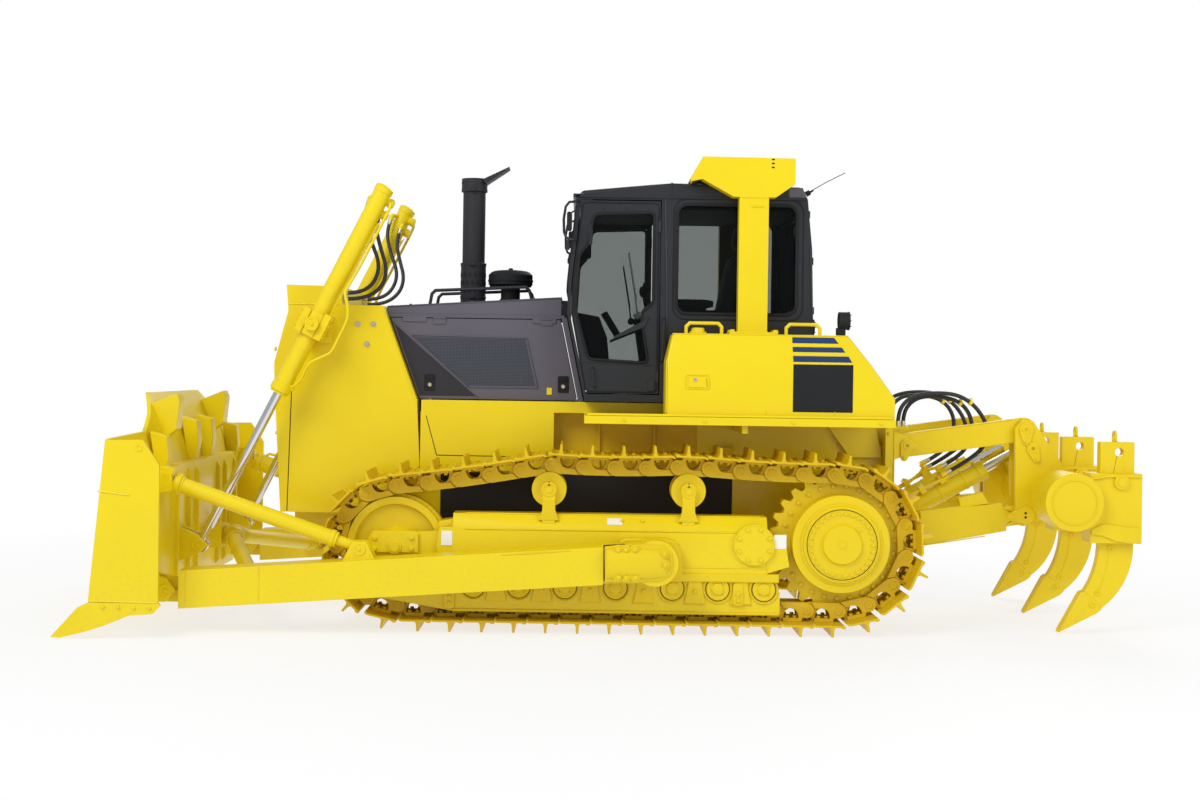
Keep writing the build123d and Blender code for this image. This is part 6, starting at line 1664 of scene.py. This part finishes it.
def cushion(name, size, middle, lean, channels, swell):
    """A padded cushion: swollen by a cloth simulation, then sewn across."""
    work = bmesh.new()
    bmesh.ops.create_cube(work, size=2.0)
    bmesh.ops.subdivide_edges(work, edges=work.edges[:], cuts=13, use_grid_fill=True)
    half = Vector(size) / 2
    for vertex in work.verts:
        u, v, w = vertex.co
        pinch = 1 - 0.05 * (1 - u * u) * abs(v) ** 3 - 0.05 * (1 - v * v) * abs(u) ** 3
        crown = 1 - 0.28 * max(abs(u), abs(v)) ** 4
        round_off = 1 - 0.08 * (u * v) ** 2
        vertex.co = (half.x * u * pinch * round_off, half.y * v * pinch * round_off, half.z * w * crown)
    data = bpy.data.meshes.new(name)
    work.to_mesh(data)
    work.free()
    made = bpy.data.objects.new(name, data)
    bpy.context.scene.collection.objects.link(made)
    start = [v.co.copy() for v in data.vertices]
    made.modifiers.new("cloth", "CLOTH")
    settings = made.modifiers["cloth"].settings
    settings.use_pressure = True
    settings.uniform_pressure_force = 4.0
    settings.effector_weights.gravity = 0.0
    settings.quality = 4
    for number in range(1, cloth_frames + 1):
        bpy.context.scene.frame_set(number)
    drawn = made.evaluated_get(bpy.context.evaluated_depsgraph_get())
    swollen = [v.co.copy() for v in drawn.data.vertices]
    made.modifiers.clear()
    bpy.context.scene.frame_set(1)
    for vertex, before, after in zip(data.vertices, start, swollen):
        move = after - before
        vertex.co = before + move * min(1.0, swell / max(move.length, 1e-6))
    for vertex in data.vertices:
        for place in channels:
            dent = math.exp(-((vertex.co.x - place) / 0.009) ** 2)
            vertex.co.z -= math.copysign(0.011, vertex.co.z) * dent * (1 - (abs(vertex.co.y) / half.y) ** 6 * 0.6)
    turn = Matrix.Rotation(lean, 4, "Y")
    data.transform(Matrix.Translation(middle) @ turn)
    data.materials.append(cloth.material)
    data.polygons.foreach_set("use_smooth", [True] * len(data.polygons))
    made.modifiers.new("round", "SUBSURF").levels = 1
    made.modifiers["round"].render_levels = 1
    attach(made, "tractor")
    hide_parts("operator_seat")
    return made


cushion("seat_cushion", (0.5, 0.5, 0.13), (-0.51, 0, 2.05), math.radians(-4), (-0.12, 0.0, 0.12), 0.014)
cushion("back_cushion", (0.58, 0.47, 0.12), (-0.86, 0, 2.38), math.radians(-101),
        (-0.18, -0.06, 0.06, 0.18), 0.014)
cushion("head_cushion", (0.2, 0.3, 0.1), (-0.935, 0, 2.79), math.radians(-99), (), 0.01)
for side, y in (("left", 0.35), ("right", -0.35)):
    cushion("arm_cushion_" + side, (0.34, 0.1, 0.055), (-0.55, y, 2.275), 0.0, (), 0.006)
print("cushions:", 5)

# %% [markdown]
# The seat's shell, the consoles with their levers and the dashboard are moulded plastic, with rounded edges.

# %% Seat shell, consoles, levers and dashboard
inside = Piece()
inside.plate([(-0.26, 1.955), (-0.23, 1.99), (-0.76, 2.01), (-0.8, 1.97)], -0.24, 0.24, 0.01)
inside.plate([(-0.9, 2.04), (-0.87, 2.04), (-1.0, 2.72), (-1.03, 2.72)], -0.22, 0.22, 0.01)
inside.plate([(-0.72, 1.612), (-0.33, 1.612), (-0.38, 1.95), (-0.68, 1.95)], -0.19, 0.19, 0.012)
for side in (-1, 1):
    low, high = sorted((side * 0.3, side * 0.42))
    inside.plate([(-0.76, 1.612), (-0.24, 1.612), (-0.22, 2.1), (-0.3, 2.22), (-0.74, 2.23), (-0.78, 2.1)],
                 low, high, 0.015)
    inside.tube([(-0.28, side * 0.36, 2.2), (-0.24, side * 0.36, 2.3), (-0.23, side * 0.355, 2.36)], 0.012, 10)
    inside.turned((-0.23, side * 0.355, 2.35), (0.1, 0, 1), [(0, 0.02), (0.02, 0.03), (0.055, 0.032), (0.08, 0.02)], 20)
    inside.plate([(0.0, 1.64), (0.03, 1.66), (-0.02, 1.76), (-0.05, 1.75)],
                 side * 0.14 - 0.04, side * 0.14 + 0.04, 0.005)
    inside.tube([(-0.93, side * 0.06, 2.66), (-0.95, side * 0.06, 2.74)], 0.008, 8)
inside.plate([(0.02, 1.612), (0.19, 1.612), (0.3, 2.16), (0.29, 2.2), (0.12, 2.17), (0.06, 2.02)], -0.42, 0.42, 0.015)
inside.plate([(-0.04, 2.06), (0.0, 2.04), (0.1, 2.2), (0.06, 2.22)], -0.16, 0.16, 0.01)
inside.plate([(-1.3, 1.62), (-1.08, 1.62), (-1.08, 2.12), (-1.3, 2.16)], -0.6, 0.6, 0.015)
inside.plate([(-1.28, 2.93), (0.18, 2.93), (0.18, 2.955), (-1.28, 2.955)], -0.68, 0.68, 0.008)
shell = inside.place("cab_inside", "tractor", "black_paint", soft_black)
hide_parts("operator_seat")
print("cab inside ready")
